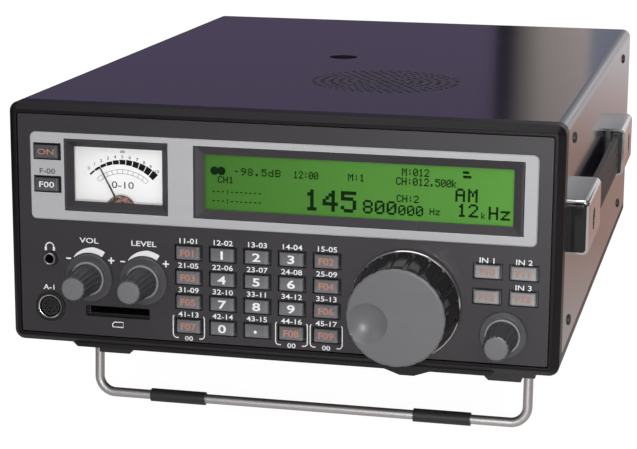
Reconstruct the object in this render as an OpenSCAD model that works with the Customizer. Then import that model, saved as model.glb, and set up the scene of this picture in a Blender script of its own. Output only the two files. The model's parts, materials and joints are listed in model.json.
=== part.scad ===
// Desktop wideband radio receiver, standing on its tilt bail and rear feet.
// Every piece is drawn in the case's own frame: X to the right, Y to the rear from the front rim,
// Z up from the underside. stance() then tips the whole case back to how it stands.

/* [Case] */
// Width over the covers
body_w = 220; // [196:1:260]
// Height of the case without its feet
body_h = 97; // [87:1:115]
// Depth from the front rim to the rear panel
body_d = 304; // [270:1:350]
// Thickness of the cover sheet
sheet_t = 1.2; // [0.8:0.1:1.6]
// Outside bend radius of the covers
bend_r = 4; // [3:0.5:5]
// Height of the bottom cover's turned-up sides
lip_h = 6.5; // [5.5:0.5:9]
// Gap at the seam between the covers
seam = 0.3; // [0.2:0.1:0.6]
// Clearance of a part that slides into its opening
fit = 0.2; // [0.1:0.05:0.3]

/* [Front frame] */
// Depth of the frame in front of the covers
frame_d = 11; // [11:0.5:16]
// Corner radius of the frame
frame_corner = 4; // [3.5:0.5:6]
// Width of the rim around the panel
frame_rim = 3.9; // [3.4:0.1:4.2]
// Width of the sloped edge around the rim
frame_slope = 2.6; // [1.5:0.1:3]
// Depth of the sloped edge
frame_slope_d = 3.4; // [2:0.1:5]
// Width of the ledge behind the panel
ledge_w = 2.5; // [1.5:0.1:2.7]
// Thickness of the front panel
panel_t = 2.5; // [2:0.1:3]
// Distance of the panel's face behind the rim
panel_set = 0.6; // [0.4:0.1:1]
// Width of the groove around the panel
panel_gap = 0.4; // [0.3:0.1:1]
// Corner radius of the panel
panel_corner = 0.6; // [0.4:0.1:2]
// Depth of the frame's lower lip, below the body
lip_drop = 1.85; // [1:0.05:2.5]
// Depth of the lip's bulge under the main dial, below the body
bulge_drop = 4; // [2.6:0.1:5]
// Width of the bulge at the lip
bulge_w = 18; // [14:0.5:22]

/* [Display plate] */
// Distance of the silver plate's ends from the body's sides
plate_side = 9.5; // [8:0.1:12]
// Height of the silver plate
plate_h = 35; // [33:0.5:36]
// Distance of the plate's upper edge below the body's top
plate_drop = 11.2; // [10.5:0.1:11.7]
// Thickness of the plate
plate_t = 1; // [0.6:0.1:1.5]
// Corner radius of the plate
plate_r = 2.2; // [1:0.1:4]
// Width of the plate's bevelled edge
plate_bevel = 0.5; // [0.2:0.1:0.5]

/* [Meter] */
// Width of the meter's frame
meter_w = 42.2; // [41:0.2:43]
// Height of the meter's frame
meter_h = 28.5; // [28:0.1:29]
// Centre of the meter from the plate's left end
meter_in = 35.4; // [35:0.1:35.9]
// Centre of the meter above the plate's
meter_up = 0.9; // [0.5:0.1:1.1]
// Width of the meter's window
meter_win_w = 36; // [34:0.2:36.6]
// Height of the meter's window
meter_win_h = 21.7; // [20:0.1:22.4]
// Depth of the window behind the frame's face
meter_recess = 3; // [2:0.2:4]
// Depth of the meter's case
meter_d = 16; // [14:0.5:22]
// Extra height of the meter's case below its frame, behind the panel
meter_drop = 3; // [2:0.1:3.4]
// Wall of the meter's case
meter_wall = 1.1; // [0.9:0.1:1.2]
// Length of the needle from its pivot
needle_len = 19.2; // [17:0.2:20]
// Needle's lean to the left of upright
needle_lean = 28; // [0:1:40]
// Radius of the half-round cover over the pivot
pivot_cover_r = 6.4; // [5:0.1:7]

/* [Display] */
// Distance between the meter's frame and the display's mask
lcd_gap = 10.6; // [9:0.1:12]
// Distance of the mask from the plate's right end
lcd_in = 5.3; // [4.5:0.1:7]
// Height of the display's mask
lcd_h = 28.3; // [28:0.1:29]
// Centre of the display above the plate's
lcd_up = 0.6; // [0.3:0.1:0.9]
// Width of the mask beside the display's window
lcd_side = 4.15; // [3.8:0.05:6]
// Height of the display's window
lcd_win_h = 21.6; // [20:0.1:22.4]
// Depth of the window behind the mask's face
lcd_recess = 1.4; // [1:0.1:2]
// Thickness of the display glass
lcd_t = 2.2; // [1.5:0.1:3]
// Thickness of a clear window
window_t = 1; // [0.8:0.1:1.4]

/* [Keys] */
// Width of a keypad key
key_w = 9.6; // [8.5:0.1:10]
// Height of a keypad key
key_h = 5.3; // [4.5:0.1:5.6]
// Height of a key beside the dial
side_key_h = 5.1; // [4.2:0.1:5.2]
// Gap around a key in its opening
key_gap = 0.6; // [0.4:0.05:0.7]
// Height of a key's face above what surrounds it
key_proud = 1.2; // [0.9:0.1:1.6]
// Travel of a key
key_travel = 0.8; // [0.5:0.05:0.8]
// Bevel of a key's front edges
key_bevel = 0.5; // [0.2:0.1:0.8]
// Spacing of the keypad's columns
key_pitch_x = 13.9; // [13.2:0.1:14.2]
// Spacing of the keypad's rows
key_pitch_z = 9.9; // [9.4:0.1:10.2]
// Centre of the keypad, to the right
keypad_x = -8.2; // [-9:0.1:-7.5]
// Height of the keypad's lowest row
keypad_z = 10.6; // [10.4:0.1:12]
// Centre of the four keys beside the dial, to the right
side_keys_x = 88.9; // [88:0.1:89.4]
// Height of the lower row beside the dial
side_keys_z = 30.3; // [29.9:0.1:31.5]
// Distance of the outermost keys from the body's sides
front_margin = 9.35; // [8:0.05:11]
// Distance of the keypad's upper row below the plate
row_gap = 10.5; // [8:0.1:12]
// Centre of the two keys on the plate from its left end
plate_keys_in = 7.1; // [6.7:0.1:7.7]
// Height of the power key above the plate's centre
power_key_up = 9.8; // [9.2:0.1:10.2]
// Distance of the function key below the plate's centre
function_key_down = 3.3; // [2.8:0.1:3.8]

/* [Dials] */
// Centre of the main dial, to the right
dial_x = 51; // [49:0.1:52]
// Centre of the main dial, upwards
dial_z = 25.6; // [25.6:0.1:27]
// Diameter of the main dial's rear flange
dial_flange_d = 43; // [40:0.1:43.2]
// Thickness of the flange
dial_flange_t = 1.8; // [1.2:0.1:3]
// Diameter of the main dial's face
dial_face_d = 38; // [34:0.1:39]
// Distance of the main dial's face from the panel
dial_len = 22.5; // [16:0.5:26]
// Number of finger grooves around the main dial
dial_flutes = 20; // [12:1:28]
// Depth of a finger groove
dial_flute_depth = 0.6; // [0.3:0.05:1]
// Radius of the finger dimple at the face
dimple_r = 7.8; // [5:0.1:8]
// Depth of the finger dimple
dimple_depth = 2.6; // [1.5:0.1:3.5]
// Distance of the dimple from the dial's axis
dimple_out = 11.1; // [9:0.1:11.2]
// Angle of the dimple below the line to the left
dimple_angle = 14; // [-90:1:90]
// Diameter of the main dial's shaft
dial_shaft_d = 6; // [4:0.5:7]

/* [Knobs] */
// Centre of the sub dial, to the right
sub_x = 88.7; // [88:0.1:89.5]
// Centre of the sub dial, upwards
sub_z = 15.8; // [15.4:0.1:16.2]
// Centre of the volume knob, to the right
volume_x = -76.9; // [-77.4:0.1:-76.4]
// Centre of the squelch knob, to the right
squelch_x = -54.3; // [-54.8:0.1:-53.8]
// Height of the volume and squelch knobs
knobs_z = 28; // [27.6:0.1:29]
// Diameter of a knob's skirt
knob_skirt_d = 19.4; // [17:0.1:20]
// Diameter of the sub dial's skirt
sub_skirt_d = 18.3; // [16:0.1:19]
// Diameter of the raised ring on the skirt
knob_ring_d = 13.8; // [13:0.1:15]
// Diameter of a knob's face
knob_face_d = 9.3; // [8.6:0.1:10.5]
// Distance of a knob's face from the panel
knob_len = 20; // [14:0.5:24]
// Number of grip flutes around a knob
knob_flutes = 18; // [12:1:24]
// Diameter of a knob's shaft
knob_shaft_d = 4; // [3:0.5:4.5]
// Radial clearance of a shaft in its bush
shaft_fit = 0.05; // [0.02:0.01:0.1]

/* [Front sockets] */
// Centre of the phones jack, to the right
phones_x = -93.4; // [-94:0.1:-92.5]
// Centre of the phones jack, upwards
phones_z = 34.6; // [34:0.1:35.5]
// Bore of the phones jack
phones_bore_d = 3.6; // [3.5:0.05:3.7]
// Diameter of the phones jack's bush
phones_bush_d = 6; // [5.4:0.1:6.6]
// Depth of the phones jack's bore
phones_depth = 15; // [14:0.5:18]
// Centre of the accessory socket, to the right
acc_x = -93.8; // [-94.2:0.1:-93.4]
// Centre of the accessory socket, upwards
acc_z = 14.9; // [14.6:0.1:15.6]
// Diameter of the accessory socket
acc_d = 12.5; // [12:0.1:13]
// Centre of the card slot, to the right
card_x = -65.4; // [-66:0.1:-65]
// Centre of the card slot, upwards
card_z = 14.3; // [14:0.1:14.6]
// Width of the card slot in the panel
card_slot_w = 26.9; // [26.2:0.1:27.4]
// Height of the card slot in the panel
card_slot_h = 4.7; // [4.2:0.1:5]
// Length of the card socket
card_len = 29; // [26:0.5:32]

/* [Speaker] */
// Centre of the grille, to the right
grille_x = 23.3; // [10:0.1:40]
// Centre of the grille behind the front rim
grille_y = 94; // [80:0.5:110]
// Number of rings of holes in the grille
grille_rings = 8; // [5:1:8]
// Spacing of the rings
grille_pitch = 3.8; // [3.2:0.1:3.9]
// Diameter of a grille hole
grille_hole_d = 2; // [1.2:0.1:2.4]
// Diameter of the loudspeaker
speaker_d = 70; // [66:1:76]
// Depth of the loudspeaker
speaker_h = 24; // [20:1:30]

/* [Cover screw] */
// Pressed screw recess in the top cover, to the right
recess_x = -10; // [-20:0.5:0]
// Pressed screw recess in the top cover, behind the front rim
recess_y = 163; // [158:0.5:170]
// Diameter of the recess
recess_d = 13; // [11:0.5:15]
// Depth of the recess
recess_h = 3; // [2.4:0.1:4]

/* [Handle] */
// Height of the handle's centre line
handle_z = 53.8; // [45:0.1:65]
// Front end of the handle behind the front rim
handle_y = 24; // [22:0.5:30]
// Length of an end cap
cap_len = 47; // [42:0.5:52]
// Height of an end cap
cap_h = 22; // [21:0.5:26]
// Distance that an end cap stands out from the side
cap_out = 7.6; // [7:0.1:9]
// Distance between the end caps
strap_free = 118; // [100:1:140]
// Width of the strap
strap_w = 17; // [14:0.5:17.5]
// Thickness of the strap
strap_t = 2.4; // [1.8:0.1:2.8]
// Gap between the strap and the side
strap_gap = 2.8; // [2.2:0.1:3.4]

/* [Feet and bail] */
// Height of the rear feet
foot_h = 15.6; // [13.5:0.1:18]
// Height of the front feet
front_foot_h = 17.2; // [15:0.1:18.5]
// Length of a foot
foot_len = 21; // [20:0.5:26]
// Distance of the feet's outer faces from the body's sides
foot_in = 14.2; // [10:0.1:16]
// Width of a foot
foot_w = 20.6; // [20:0.1:24]
// Front face of the front feet behind the front rim
front_foot_y = 48; // [44:0.5:56]
// Distance of the rear feet's rear face from the rear panel
rear_foot_inset = 30; // [25:0.5:45]
// Height of the bail's pivot below the case
pivot_drop = 8; // [7.6:0.1:9]
// Diameter of the bail's wire
wire_d = 4; // [3:0.1:4.4]
// Distance of the bail's bar below the case
bar_drop = 36.5; // [30:0.5:42]
// Bend radius of the bail's corners
bail_bend_r = 7; // [5:0.5:10]
// Forward lean of the open bail
bail_lean = 3; // [0:0.5:8]
// Length of a rubber sleeve
sleeve_len = 24; // [18:0.5:30]
// Diameter of a rubber sleeve
sleeve_d = 5.6; // [5.2:0.1:7]
// Centre of a sleeve from the middle of the bar
sleeve_x = 57; // [40:0.5:62]

/* [Rear] */
// Thickness of the rear panel
rear_t = 2; // [1.5:0.1:3]
// Height of the antenna sockets
antenna_z = 60; // [54:0.5:66]
// Distance of each antenna socket from the centre
antenna_x = 70; // [64:0.5:76]
// Outer diameter of an antenna socket's thread
antenna_d = 15.8; // [15.6:0.1:16]
// Length of an antenna socket's barrel
antenna_len = 13; // [12:0.5:15]
// Height of the lower row of rear sockets
rear_row_z = 26; // [24:0.5:28]
// Power inlet, to the right
dc_x = 88; // [85:0.5:89]
// Loudspeaker jack, to the right
speaker_jack_x = 66; // [62:0.5:72]
// Rear accessory socket, to the right
rear_acc_x = 40; // [36:0.5:48]
// Data socket, to the right
usb_x = 12; // [6:0.5:18]
// First bayonet socket, to the left
bnc_x = 22; // [18:0.5:26]
// Spacing of the bayonet sockets
bnc_pitch = 26; // [22:0.5:32]
// Ground terminal, to the left
ground_x = 84; // [78:0.5:86]

/* [Inside] */
// Thickness of the chassis plates
chassis_t = 2; // [1.5:0.1:2.5]
// Height of the chassis deck
deck_z = 22; // [21.5:0.5:24]
// Thickness of a circuit board
board_t = 1.6; // [1:0.1:1.8]
// Height of the main board above the deck
board_stand = 4; // [3:0.5:6]
// Distance of the front board behind the panel
board_gap = 5.4; // [5.4:0.1:5.8]

/* [Screws] */
// Diameter of a screw's head
screw_head_d = 4.4; // [4.2:0.1:5]
// Height of a screw's head
screw_head_h = 0.8; // [0.6:0.1:1.2]
// Diameter of a screw's shank
screw_d = 2.8; // [2:0.1:3]
// Distance of the upper side screws below the body's top
screw_drop = 9.5; // [9:0.5:13]
// Height of the lower side screws
screw_low_z = 14.7; // [13:0.5:17]
// Front side screws behind the front rim
screw_front_y = 33; // [30:0.5:36]
// Rear side screws from the rear panel
screw_rear_inset = 42; // [36:0.5:48]

/* [Hidden] */
$fn = 64;
EPS = 0.01;
HALF_W = body_w / 2;
INNER_HALF = HALF_W - sheet_t;
ROOF_Z = body_h - sheet_t;
PANEL_BACK = panel_set + panel_t;
PLATE_FACE = panel_set - plate_t;
// The meter's and the display's frames stop just short of the plate's face.
INSET_FACE = PLATE_FACE + fit;
OPENING_W = body_w - 2 * frame_rim;
OPENING_H = body_h - 2 * frame_rim;
OPENING_R = panel_corner + panel_gap;
// Share of the bulge's width that is flat at its bottom
BULGE_FLAT = 0.31;
TONGUE_D = 7;
TONGUE_W = 0.84 * body_w;
TONGUE_T = 2;

// The plate's row keeps its distances from the body's edges.
PLATE_W = body_w - 2 * plate_side;
PLATE_Z = body_h - plate_drop - plate_h / 2;
METER_X = meter_in - PLATE_W / 2;
METER_Z = PLATE_Z + meter_up;
LCD_W = PLATE_W - meter_in - meter_w / 2 - lcd_gap - lcd_in;
LCD_X = (PLATE_W - LCD_W) / 2 - lcd_in;
LCD_Z = PLATE_Z + lcd_up;
LCD_WIN_W = LCD_W - 2 * lcd_side;
PLATE_KEYS_X = plate_keys_in - PLATE_W / 2;
POWER_KEY_Z = PLATE_Z + power_key_up;
FUNCTION_KEY_Z = PLATE_Z - function_key_down;

// The other places are given for the width and height that these sizes and margins add up to, and they
// spread with the body.
LAYOUT_W = 2 * side_keys_x + key_pitch_x + key_w + 2 * front_margin;
LAYOUT_H = keypad_z + 3 * key_pitch_z + row_gap + plate_h + plate_drop;
ACROSS = body_w / LAYOUT_W;
UPWARD = body_h / LAYOUT_H;
KEYPAD_X = keypad_x * ACROSS;
KEY_PITCH_X = key_pitch_x * ACROSS;
KEY_PITCH_Z = key_pitch_z * UPWARD;
SIDE_KEYS_X = side_keys_x * ACROSS;
SIDE_KEYS_Z = side_keys_z * UPWARD;
DIAL_X = dial_x * ACROSS;
DIAL_Z = dial_z * UPWARD;
SUB_X = sub_x * ACROSS;
VOLUME_X = volume_x * ACROSS;
SQUELCH_X = squelch_x * ACROSS;
KNOBS_Z = knobs_z * UPWARD;
PHONES_X = phones_x * ACROSS;
PHONES_Z = phones_z * UPWARD;
ACC_X = acc_x * ACROSS;
CARD_X = card_x * ACROSS;
CARD_Z = card_z * UPWARD;
FOOT_OUT = HALF_W - foot_in;
ANTENNA_X = antenna_x * ACROSS;
SCREW_TOP_Z = body_h - screw_drop;

// Meter
FLANGE = 0.9;
FLANGE_T = 1.2;
METER_CAVITY_W = meter_w - 2 * meter_wall;
METER_CAVITY_H = meter_h - 2 * meter_wall;
METER_WINDOW_Y = INSET_FACE + meter_recess;
NEEDLE_Y = METER_WINDOW_Y + window_t + 1.7;
NEEDLE_T = 0.4;
NEEDLE_W = 0.7;
HUB_R = 1.2;
HUB_T = 0.9;
PIVOT_R = 0.6;
SCALE_Y = NEEDLE_Y + NEEDLE_T + 1.2;
SCALE_T = 0.6;
SHOULDER = 1.5;
MOVEMENT_R = 8;
// Behind the panel the case is taller, so that the pivot lies below the window.
METER_LOW_Z = METER_Z - meter_drop / 2;
METER_TALL = METER_CAVITY_H + meter_drop;
METER_FLOOR = METER_LOW_Z - METER_TALL / 2;
PIVOT_X = METER_X + 0.4;
PIVOT_Z = METER_FLOOR + HUB_R + 0.4;
PIVOT_COVER_T = 0.8;
PIVOT_COVER_Y = METER_WINDOW_Y + window_t + fit;

// Display
LCD_WINDOW_Y = INSET_FACE + lcd_recess;
LCD_LIP = 1.2;
LCD_RIM = 1;
LCD_GLASS_Y = LCD_WINDOW_Y + window_t;
LCD_GLASS_W = LCD_WIN_W + 2 * (LCD_LIP - fit);
LCD_GLASS_H = lcd_win_h + 2 * (LCD_LIP - fit);
MASK_BACK = max(LCD_GLASS_Y + lcd_t, PANEL_BACK + FLANGE_T);

// Keys: the flange waits behind the panel, and the stem ends above its switch.
KEY_FLANGE_X = 1.1;
KEY_FLANGE_Z = 0.9;
KEY_FLANGE_T = 1;
KEY_SEAT = PANEL_BACK + 0.2;
KEY_REST_GAP = 0.15;
SWITCH_W = 6;
SWITCH_H = 1.6;
PLUNGER_R = 1.5;
PLUNGER_H = 0.8;
BOARD_Y = PANEL_BACK + board_gap;
PLUNGER_Y = BOARD_Y - SWITCH_H - PLUNGER_H;
KEY_BACK = PLUNGER_Y - key_travel - KEY_REST_GAP;
STEM_W = 3;

// Name, column from the left, row from the bottom
KEYPAD = [
    ["search_key", 0, 3], ["digit_1_key", 1, 3], ["digit_2_key", 2, 3], ["digit_3_key", 3, 3],
    ["mode_key", 4, 3], ["scan_key", 0, 2], ["digit_4_key", 1, 2], ["digit_5_key", 2, 2],
    ["digit_6_key", 3, 2], ["step_key", 4, 2], ["memory_key", 0, 1], ["digit_7_key", 1, 1],
    ["digit_8_key", 2, 1], ["digit_9_key", 3, 1], ["filter_key", 4, 1], ["shift_key", 0, 0],
    ["digit_0_key", 1, 0], ["point_key", 2, 0], ["clear_key", 3, 0], ["enter_key", 4, 0]
];
// Name, column from the left, row from the bottom
SIDE_KEYS = [["antenna_key", 0, 1], ["main_key", 1, 1], ["tune_key", 0, 0], ["sub_key", 1, 0]];
// Name, height
PLATE_KEYS = [["power_key", POWER_KEY_Z], ["function_key", FUNCTION_KEY_Z]];
function keypad_at(k) = [KEYPAD_X + (k[1] - 2) * KEY_PITCH_X, keypad_z + k[2] * KEY_PITCH_Z];
function side_key_at(k) = [SIDE_KEYS_X + (k[1] - 0.5) * KEY_PITCH_X, SIDE_KEYS_Z + k[2] * KEY_PITCH_Z];
KEY_PLACES = concat([for (k = KEYPAD) keypad_at(k)], [for (k = SIDE_KEYS) side_key_at(k)]);

// Controls: bush and nut under each knob
BUSH_WALL = 0.9;
BUSH_OUT = 3.4;
NUT_T = 1.8;
NUT_WALL = 1.6;
KNOB_FLOAT = 0.4;
KNOB_RECESS = BUSH_OUT + 0.5;
// The main dial clears the plate's face.
DIAL_FLOAT = plate_t + fit;
SHAFT_FLAT = 0.25;
SHAFT_END = 0.4;
HAIRLINE = 0.05;
KNOB_CAP_WALL = 3;
// The dark grip stands out a little around a knob's face, and the dial's flange around its grip.
KNOB_LIP = 0.6;
DIAL_LIP = 0.6;
DIAL_FRONT_WALL = dimple_depth + 2.4;
KNOB_SHAFT_TIP = knob_len - KNOB_CAP_WALL - SHAFT_END;
DIAL_SHAFT_TIP = dial_len - DIAL_FRONT_WALL - 2 * SHAFT_END;
// Centre to the right, height, shaft diameter, width of the body behind the panel
DIAL_CONTROL = [DIAL_X, DIAL_Z, dial_shaft_d, 20];
SUB_CONTROL = [SUB_X, sub_z, knob_shaft_d, 12];
VOLUME_CONTROL = [VOLUME_X, KNOBS_Z, knob_shaft_d, 15];
SQUELCH_CONTROL = [SQUELCH_X, KNOBS_Z, knob_shaft_d, 15];
CONTROLS = [DIAL_CONTROL, SUB_CONTROL, VOLUME_CONTROL, SQUELCH_CONTROL];
function bush_r(c) = c[2] / 2 + shaft_fit + BUSH_WALL;
SHAFT_BACK = BOARD_Y - 0.8;

// Front sockets
PHONES_FACE = panel_set - 0.8;
PHONES_W = 10;
PHONES_FLOOR = 1.5;
CARD_W = 24.4;
CARD_H = 2.6;

// Handle
HANDLE_LEN = 2 * cap_len + strap_free;
CAP_SLOPE = 1;
CAP_WALL = 1.2;
STRAP_FIT = 0.3;
// The strap ends in moulded plugs that fill the caps' mouths and stand a little out of them.
PLUG_IN = 12;
PLUG_OUT = 3;
PLUG_R = 1.5;
CAP_SCREW_AT = 19;
CAP_RECESS_R = 4.4;
CAP_RECESS = 1.6;
RIBS = 4;
RIB_DEPTH = 0.4;

// Rear sockets
ANTENNA_FLANGE_W = 25;
ANTENNA_FLANGE_T = 3;
ANTENNA_BORE_D = 8.6;
REAR_BODY = 12;
GROUND_X = -ground_x * ACROSS;

// Feet, bail and stance
CHEEK_T = 1.1;
LEG_GAP = 0.3;
LEG_X = FOOT_OUT - CHEEK_T - wire_d / 2 - LEG_GAP;
FOOT_ROOF = 4;
PIN_LEN = 9;
PIVOT_IN = 7.9;
PIVOT_Y = front_foot_y + PIVOT_IN;
LEG_LEN = (bar_drop - pivot_drop) / cos(bail_lean);
BAR_Y = PIVOT_Y - LEG_LEN * sin(bail_lean);
REAR_FOOT_END = body_d - rear_foot_inset;
FOOT_SCREW_SIDE = 5;
FOOT_SCREW_X = FOOT_OUT - foot_w + FOOT_SCREW_SIDE;
FOOT_SCREW_IN = 14;
FOOT_WALL = 2.5;
// The sleeves' undersides and the rear edges of the rear feet touch the ground together.
STANCE_RUN = REAR_FOOT_END - BAR_Y;
STANCE_RISE = bar_drop - foot_h;
tilt = asin(sleeve_d / 2 / norm([STANCE_RUN, STANCE_RISE])) + atan2(STANCE_RISE, STANCE_RUN);
REST_Z = BAR_Y * sin(tilt) + bar_drop * cos(tilt) + sleeve_d / 2;
X_MID = (cap_out - screw_head_h) / 2;
Y_FRONT = (panel_set - dial_len) * cos(tilt) + (DIAL_Z - dial_face_d / 2) * sin(tilt);
Y_REAR = (body_d + ANTENNA_FLANGE_T + antenna_len) * cos(tilt) + (antenna_z + antenna_d / 2) * sin(tilt);
Y_MID = (Y_FRONT + Y_REAR) / 2;

// Chassis
CHASSIS_HALF = INNER_HALF - 0.1;
CHASSIS_TOP = body_h - bend_r - 0.5;
CHASSIS_LOW = bend_r + 0.3;
CHASSIS_END = body_d - rear_t;
TAB_W = 4.5;
REAR_TAB_W = 10;
DECK_FRONT = 40;
DECK_END = body_d - REAR_BODY - 2;
POST_R = 4;

// Front boards: their edges, and the notch that clears the card socket
BOARD_EDGE = 1;
BOARD_HALF = OPENING_W / 2 - ledge_w - BOARD_EDGE;
BOARD_LOW = frame_rim + ledge_w + BOARD_EDGE / 2;
BOARD_TOP = PLATE_Z - plate_h / 2;
BOARD_LEFT = VOLUME_X - VOLUME_CONTROL[3] / 2 - BOARD_EDGE;
NOTCH_X = KEYPAD_X - 2 * KEY_PITCH_X - key_w - 3;
NOTCH_Z = CARD_Z + card_slot_h + BOARD_EDGE;
PLATE_BOARD_W = 14;
PLATE_BOARD_H = 28;
PLATE_BOARD_X = PLATE_KEYS_X - 2;
PLATE_BOARD_Z = PLATE_Z + 1;

// Main board on its standoffs, and the shielded blocks on it
MAIN_Z = deck_z + chassis_t + board_stand;
MAIN_SIDE = 18.8;
MAIN_HALF = INNER_HALF - MAIN_SIDE;
MAIN_FRONT = DECK_FRONT + 20;
MAIN_IN = 10;
STANDOFF_Y = [MAIN_FRONT + MAIN_IN, (MAIN_FRONT + DECK_END) / 2, DECK_END - MAIN_IN];
STANDOFFS = [for (x = [-1, 1], y = STANDOFF_Y) [x * (MAIN_HALF - MAIN_IN), y]];
BLOCK_IN = 15;
BLOCK_W = 55;
TUNER_L = 65;
TUNER_H = 14;
MIXER_L = 60;
MIXER_H = 18;
SUPPLY_W = 120;
SUPPLY_L = 35;
SUPPLY_H = 11;
POST_ROOM = 2;

// Case to standing position
module stance() {
    translate([-X_MID, -Y_MID, REST_Z]) rotate([-tilt, 0, 0]) children();
}

// Flat outline in width and height, drawn out along the depth from y0 to y1
module along_y(y0, y1) {
    translate([0, y1, 0]) rotate([90, 0, 0]) linear_extrude(y1 - y0) children();
}

// Flat outline in depth and height, drawn out to the right from x0 to x1
module along_x(x0, x1) {
    translate([x0, 0, 0]) rotate([90, 0, 90]) linear_extrude(x1 - x0) children();
}

// Flat outline seen from above, drawn out upwards from z0 to z1
module along_z(z0, z1) {
    translate([0, 0, z0]) linear_extrude(z1 - z0) children();
}

module box(x0, x1, y0, y1, z0, z1) {
    translate([x0, y0, z0]) cube([x1 - x0, y1 - y0, z1 - z0]);
}

// Box given by its centre across the front, its size there and its span in depth
module front_box(x, z, w, h, y0, y1) {
    box(x - w / 2, x + w / 2, y0, y1, z - h / 2, z + h / 2);
}

module rod_y(x, z, r, y0, y1) {
    translate([x, y1, z]) rotate([90, 0, 0]) cylinder(r = r, h = y1 - y0);
}

module rod_x(y, z, r, x0, x1) {
    translate([x0, y, z]) rotate([0, 90, 0]) cylinder(r = r, h = x1 - x0);
}

module rod_z(x, y, r, z0, z1) {
    translate([x, y, z0]) cylinder(r = r, h = z1 - z0);
}

// Rectangle with true round corners, centred
module rounded(w, h, r) {
    square([w - 2 * r, h], center = true);
    square([w, h - 2 * r], center = true);
    for (x = [-1, 1], y = [-1, 1]) translate([x * (w / 2 - r), y * (h / 2 - r)]) circle(r);
}

// Rounded plate across the front
module rounded_front(x, z, w, h, r, y0, y1) {
    along_y(y0, y1) translate([x, z]) rounded(w, h, r);
}

// Four-sided opening that narrows from w and h at y0 by side on every side at y1
module funnel(x, z, w, h, side, y0, y1) {
    translate([x, 0, z]) intersection() {
        along_z(-h, h) polygon([[-w / 2, y0], [w / 2, y0], [w / 2 - side, y1], [side - w / 2, y1]]);
        along_x(-w, w) polygon([[y0, -h / 2], [y0, h / 2], [y1, h / 2 - side], [y1, side - h / 2]]);
    }
}

// Plate with round corners whose front edges slope in by side over the first slope_d of its depth
module sloped_plate(x, z, w, h, r, side, slope_d, y0, y1) {
    tops = [[y1, h / 2], [y0 + slope_d, h / 2], [y0, h / 2 - side]];
    ends = [for (p = tops) [w / 2 - (h / 2 - p[1]), p[0]]];
    translate([x, 0, z]) {
        along_x(r - w / 2, w / 2 - r)
            polygon(concat(tops, [for (i = [2, 1, 0]) [tops[i][0], -tops[i][1]]]));
        along_z(r - h / 2, h / 2 - r)
            polygon(concat(ends, [for (i = [2, 1, 0]) [-ends[i][0], ends[i][1]]]));
        for (sx = [-1, 1], sz = [-1, 1]) translate([sx * (w / 2 - r), 0, sz * (h / 2 - r)]) {
            translate([0, y0 + slope_d, 0]) rotate([90, 0, 0]) cylinder(r1 = r, r2 = r - side, h = slope_d);
            rod_y(0, 0, r, y0 + slope_d, y1);
        }
    }
}

// Folded sheet outline of the whole case, seen from the front
module case_outline() {
    translate([0, body_h / 2]) difference() {
        rounded(body_w, body_h, bend_r);
        rounded(body_w - 2 * sheet_t, body_h - 2 * sheet_t, bend_r - sheet_t);
    }
}

// Tongues at top and bottom that reach into the covers
module frame_tongues() {
    h = body_h - 2 * (sheet_t + fit);
    along_y(frame_d, frame_d + TONGUE_D) translate([0, body_h / 2]) for (s = [-1, 1])
        translate([-TONGUE_W / 2, s * (h / 2 - TONGUE_T / 2) - TONGUE_T / 2]) square([TONGUE_W, TONGUE_T]);
}

module front_frame() {
    color([0.15, 0.14, 0.15]) difference() {
        union() {
            sloped_plate(0, body_h / 2, body_w, body_h, frame_corner, frame_slope, frame_slope_d, 0,
                         frame_d);
            frame_tongues();
            lower_lip();
        }
        rounded_front(0, body_h / 2, OPENING_W, OPENING_H, OPENING_R, -1, PANEL_BACK);
        rounded_front(0, body_h / 2, OPENING_W - 2 * ledge_w, OPENING_H - 2 * ledge_w, panel_corner,
                      PANEL_BACK - 1, frame_d + TONGUE_D + 1);
    }
}

// Lower lip of the frame between the feet, with a bulge under the main dial
module lower_lip() {
    half = FOOT_OUT - foot_w / 2;
    flat = BULGE_FLAT * bulge_w / 2;
    along_y(frame_slope_d, frame_d)
        polygon([[-half, frame_rim / 2], [half, frame_rim / 2], [half, 0], [half - lip_drop, -lip_drop],
                 [DIAL_X + bulge_w / 2, -lip_drop], [DIAL_X + flat, -bulge_drop],
                 [DIAL_X - flat, -bulge_drop], [DIAL_X - bulge_w / 2, -lip_drop],
                 [lip_drop - half, -lip_drop], [-half, 0]]);
}

// Places of the bosses that carry the front boards, right and upwards
BOSS_R = 2.2;
BOSS_IN = 1;
BOSS_LOW = BOARD_LOW + BOSS_R;
BOSS_TOP = BOARD_TOP - BOSS_R - BOSS_IN;
PLATE_BOSS_STEP = (POWER_KEY_Z - FUNCTION_KEY_Z) / 2;
KEYPAD_END = KEYPAD_X + 2 * KEY_PITCH_X + key_w / 2 + KEY_FLANGE_X;
SIDE_KEYS_END = SIDE_KEYS_X - (KEY_PITCH_X + key_w) / 2 - KEY_FLANGE_X;
DIAL_LEFT_X = (KEYPAD_END + DIAL_X - DIAL_CONTROL[3] / 2) / 2;
DIAL_RIGHT_X = (SIDE_KEYS_END + DIAL_X + DIAL_CONTROL[3] / 2) / 2;
BOSSES = [[(VOLUME_X + SQUELCH_X) / 2, BOSS_TOP], [DIAL_LEFT_X, BOSS_TOP], [DIAL_RIGHT_X, BOSS_TOP],
          [DIAL_LEFT_X, BOSS_LOW], [DIAL_RIGHT_X, BOSS_LOW], [NOTCH_X + BOSS_R + BOSS_IN, BOSS_LOW],
          [PLATE_KEYS_X, FUNCTION_KEY_Z + PLATE_BOSS_STEP],
          [PLATE_KEYS_X, FUNCTION_KEY_Z - PLATE_BOSS_STEP - BOSS_IN]];

// Opening around a key of height h at a place across the front
module key_opening(at, h) {
    front_box(at[0], at[1], key_w + 2 * key_gap, h + 2 * key_gap, PLATE_FACE - 1, PANEL_BACK + 1);
}

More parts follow.
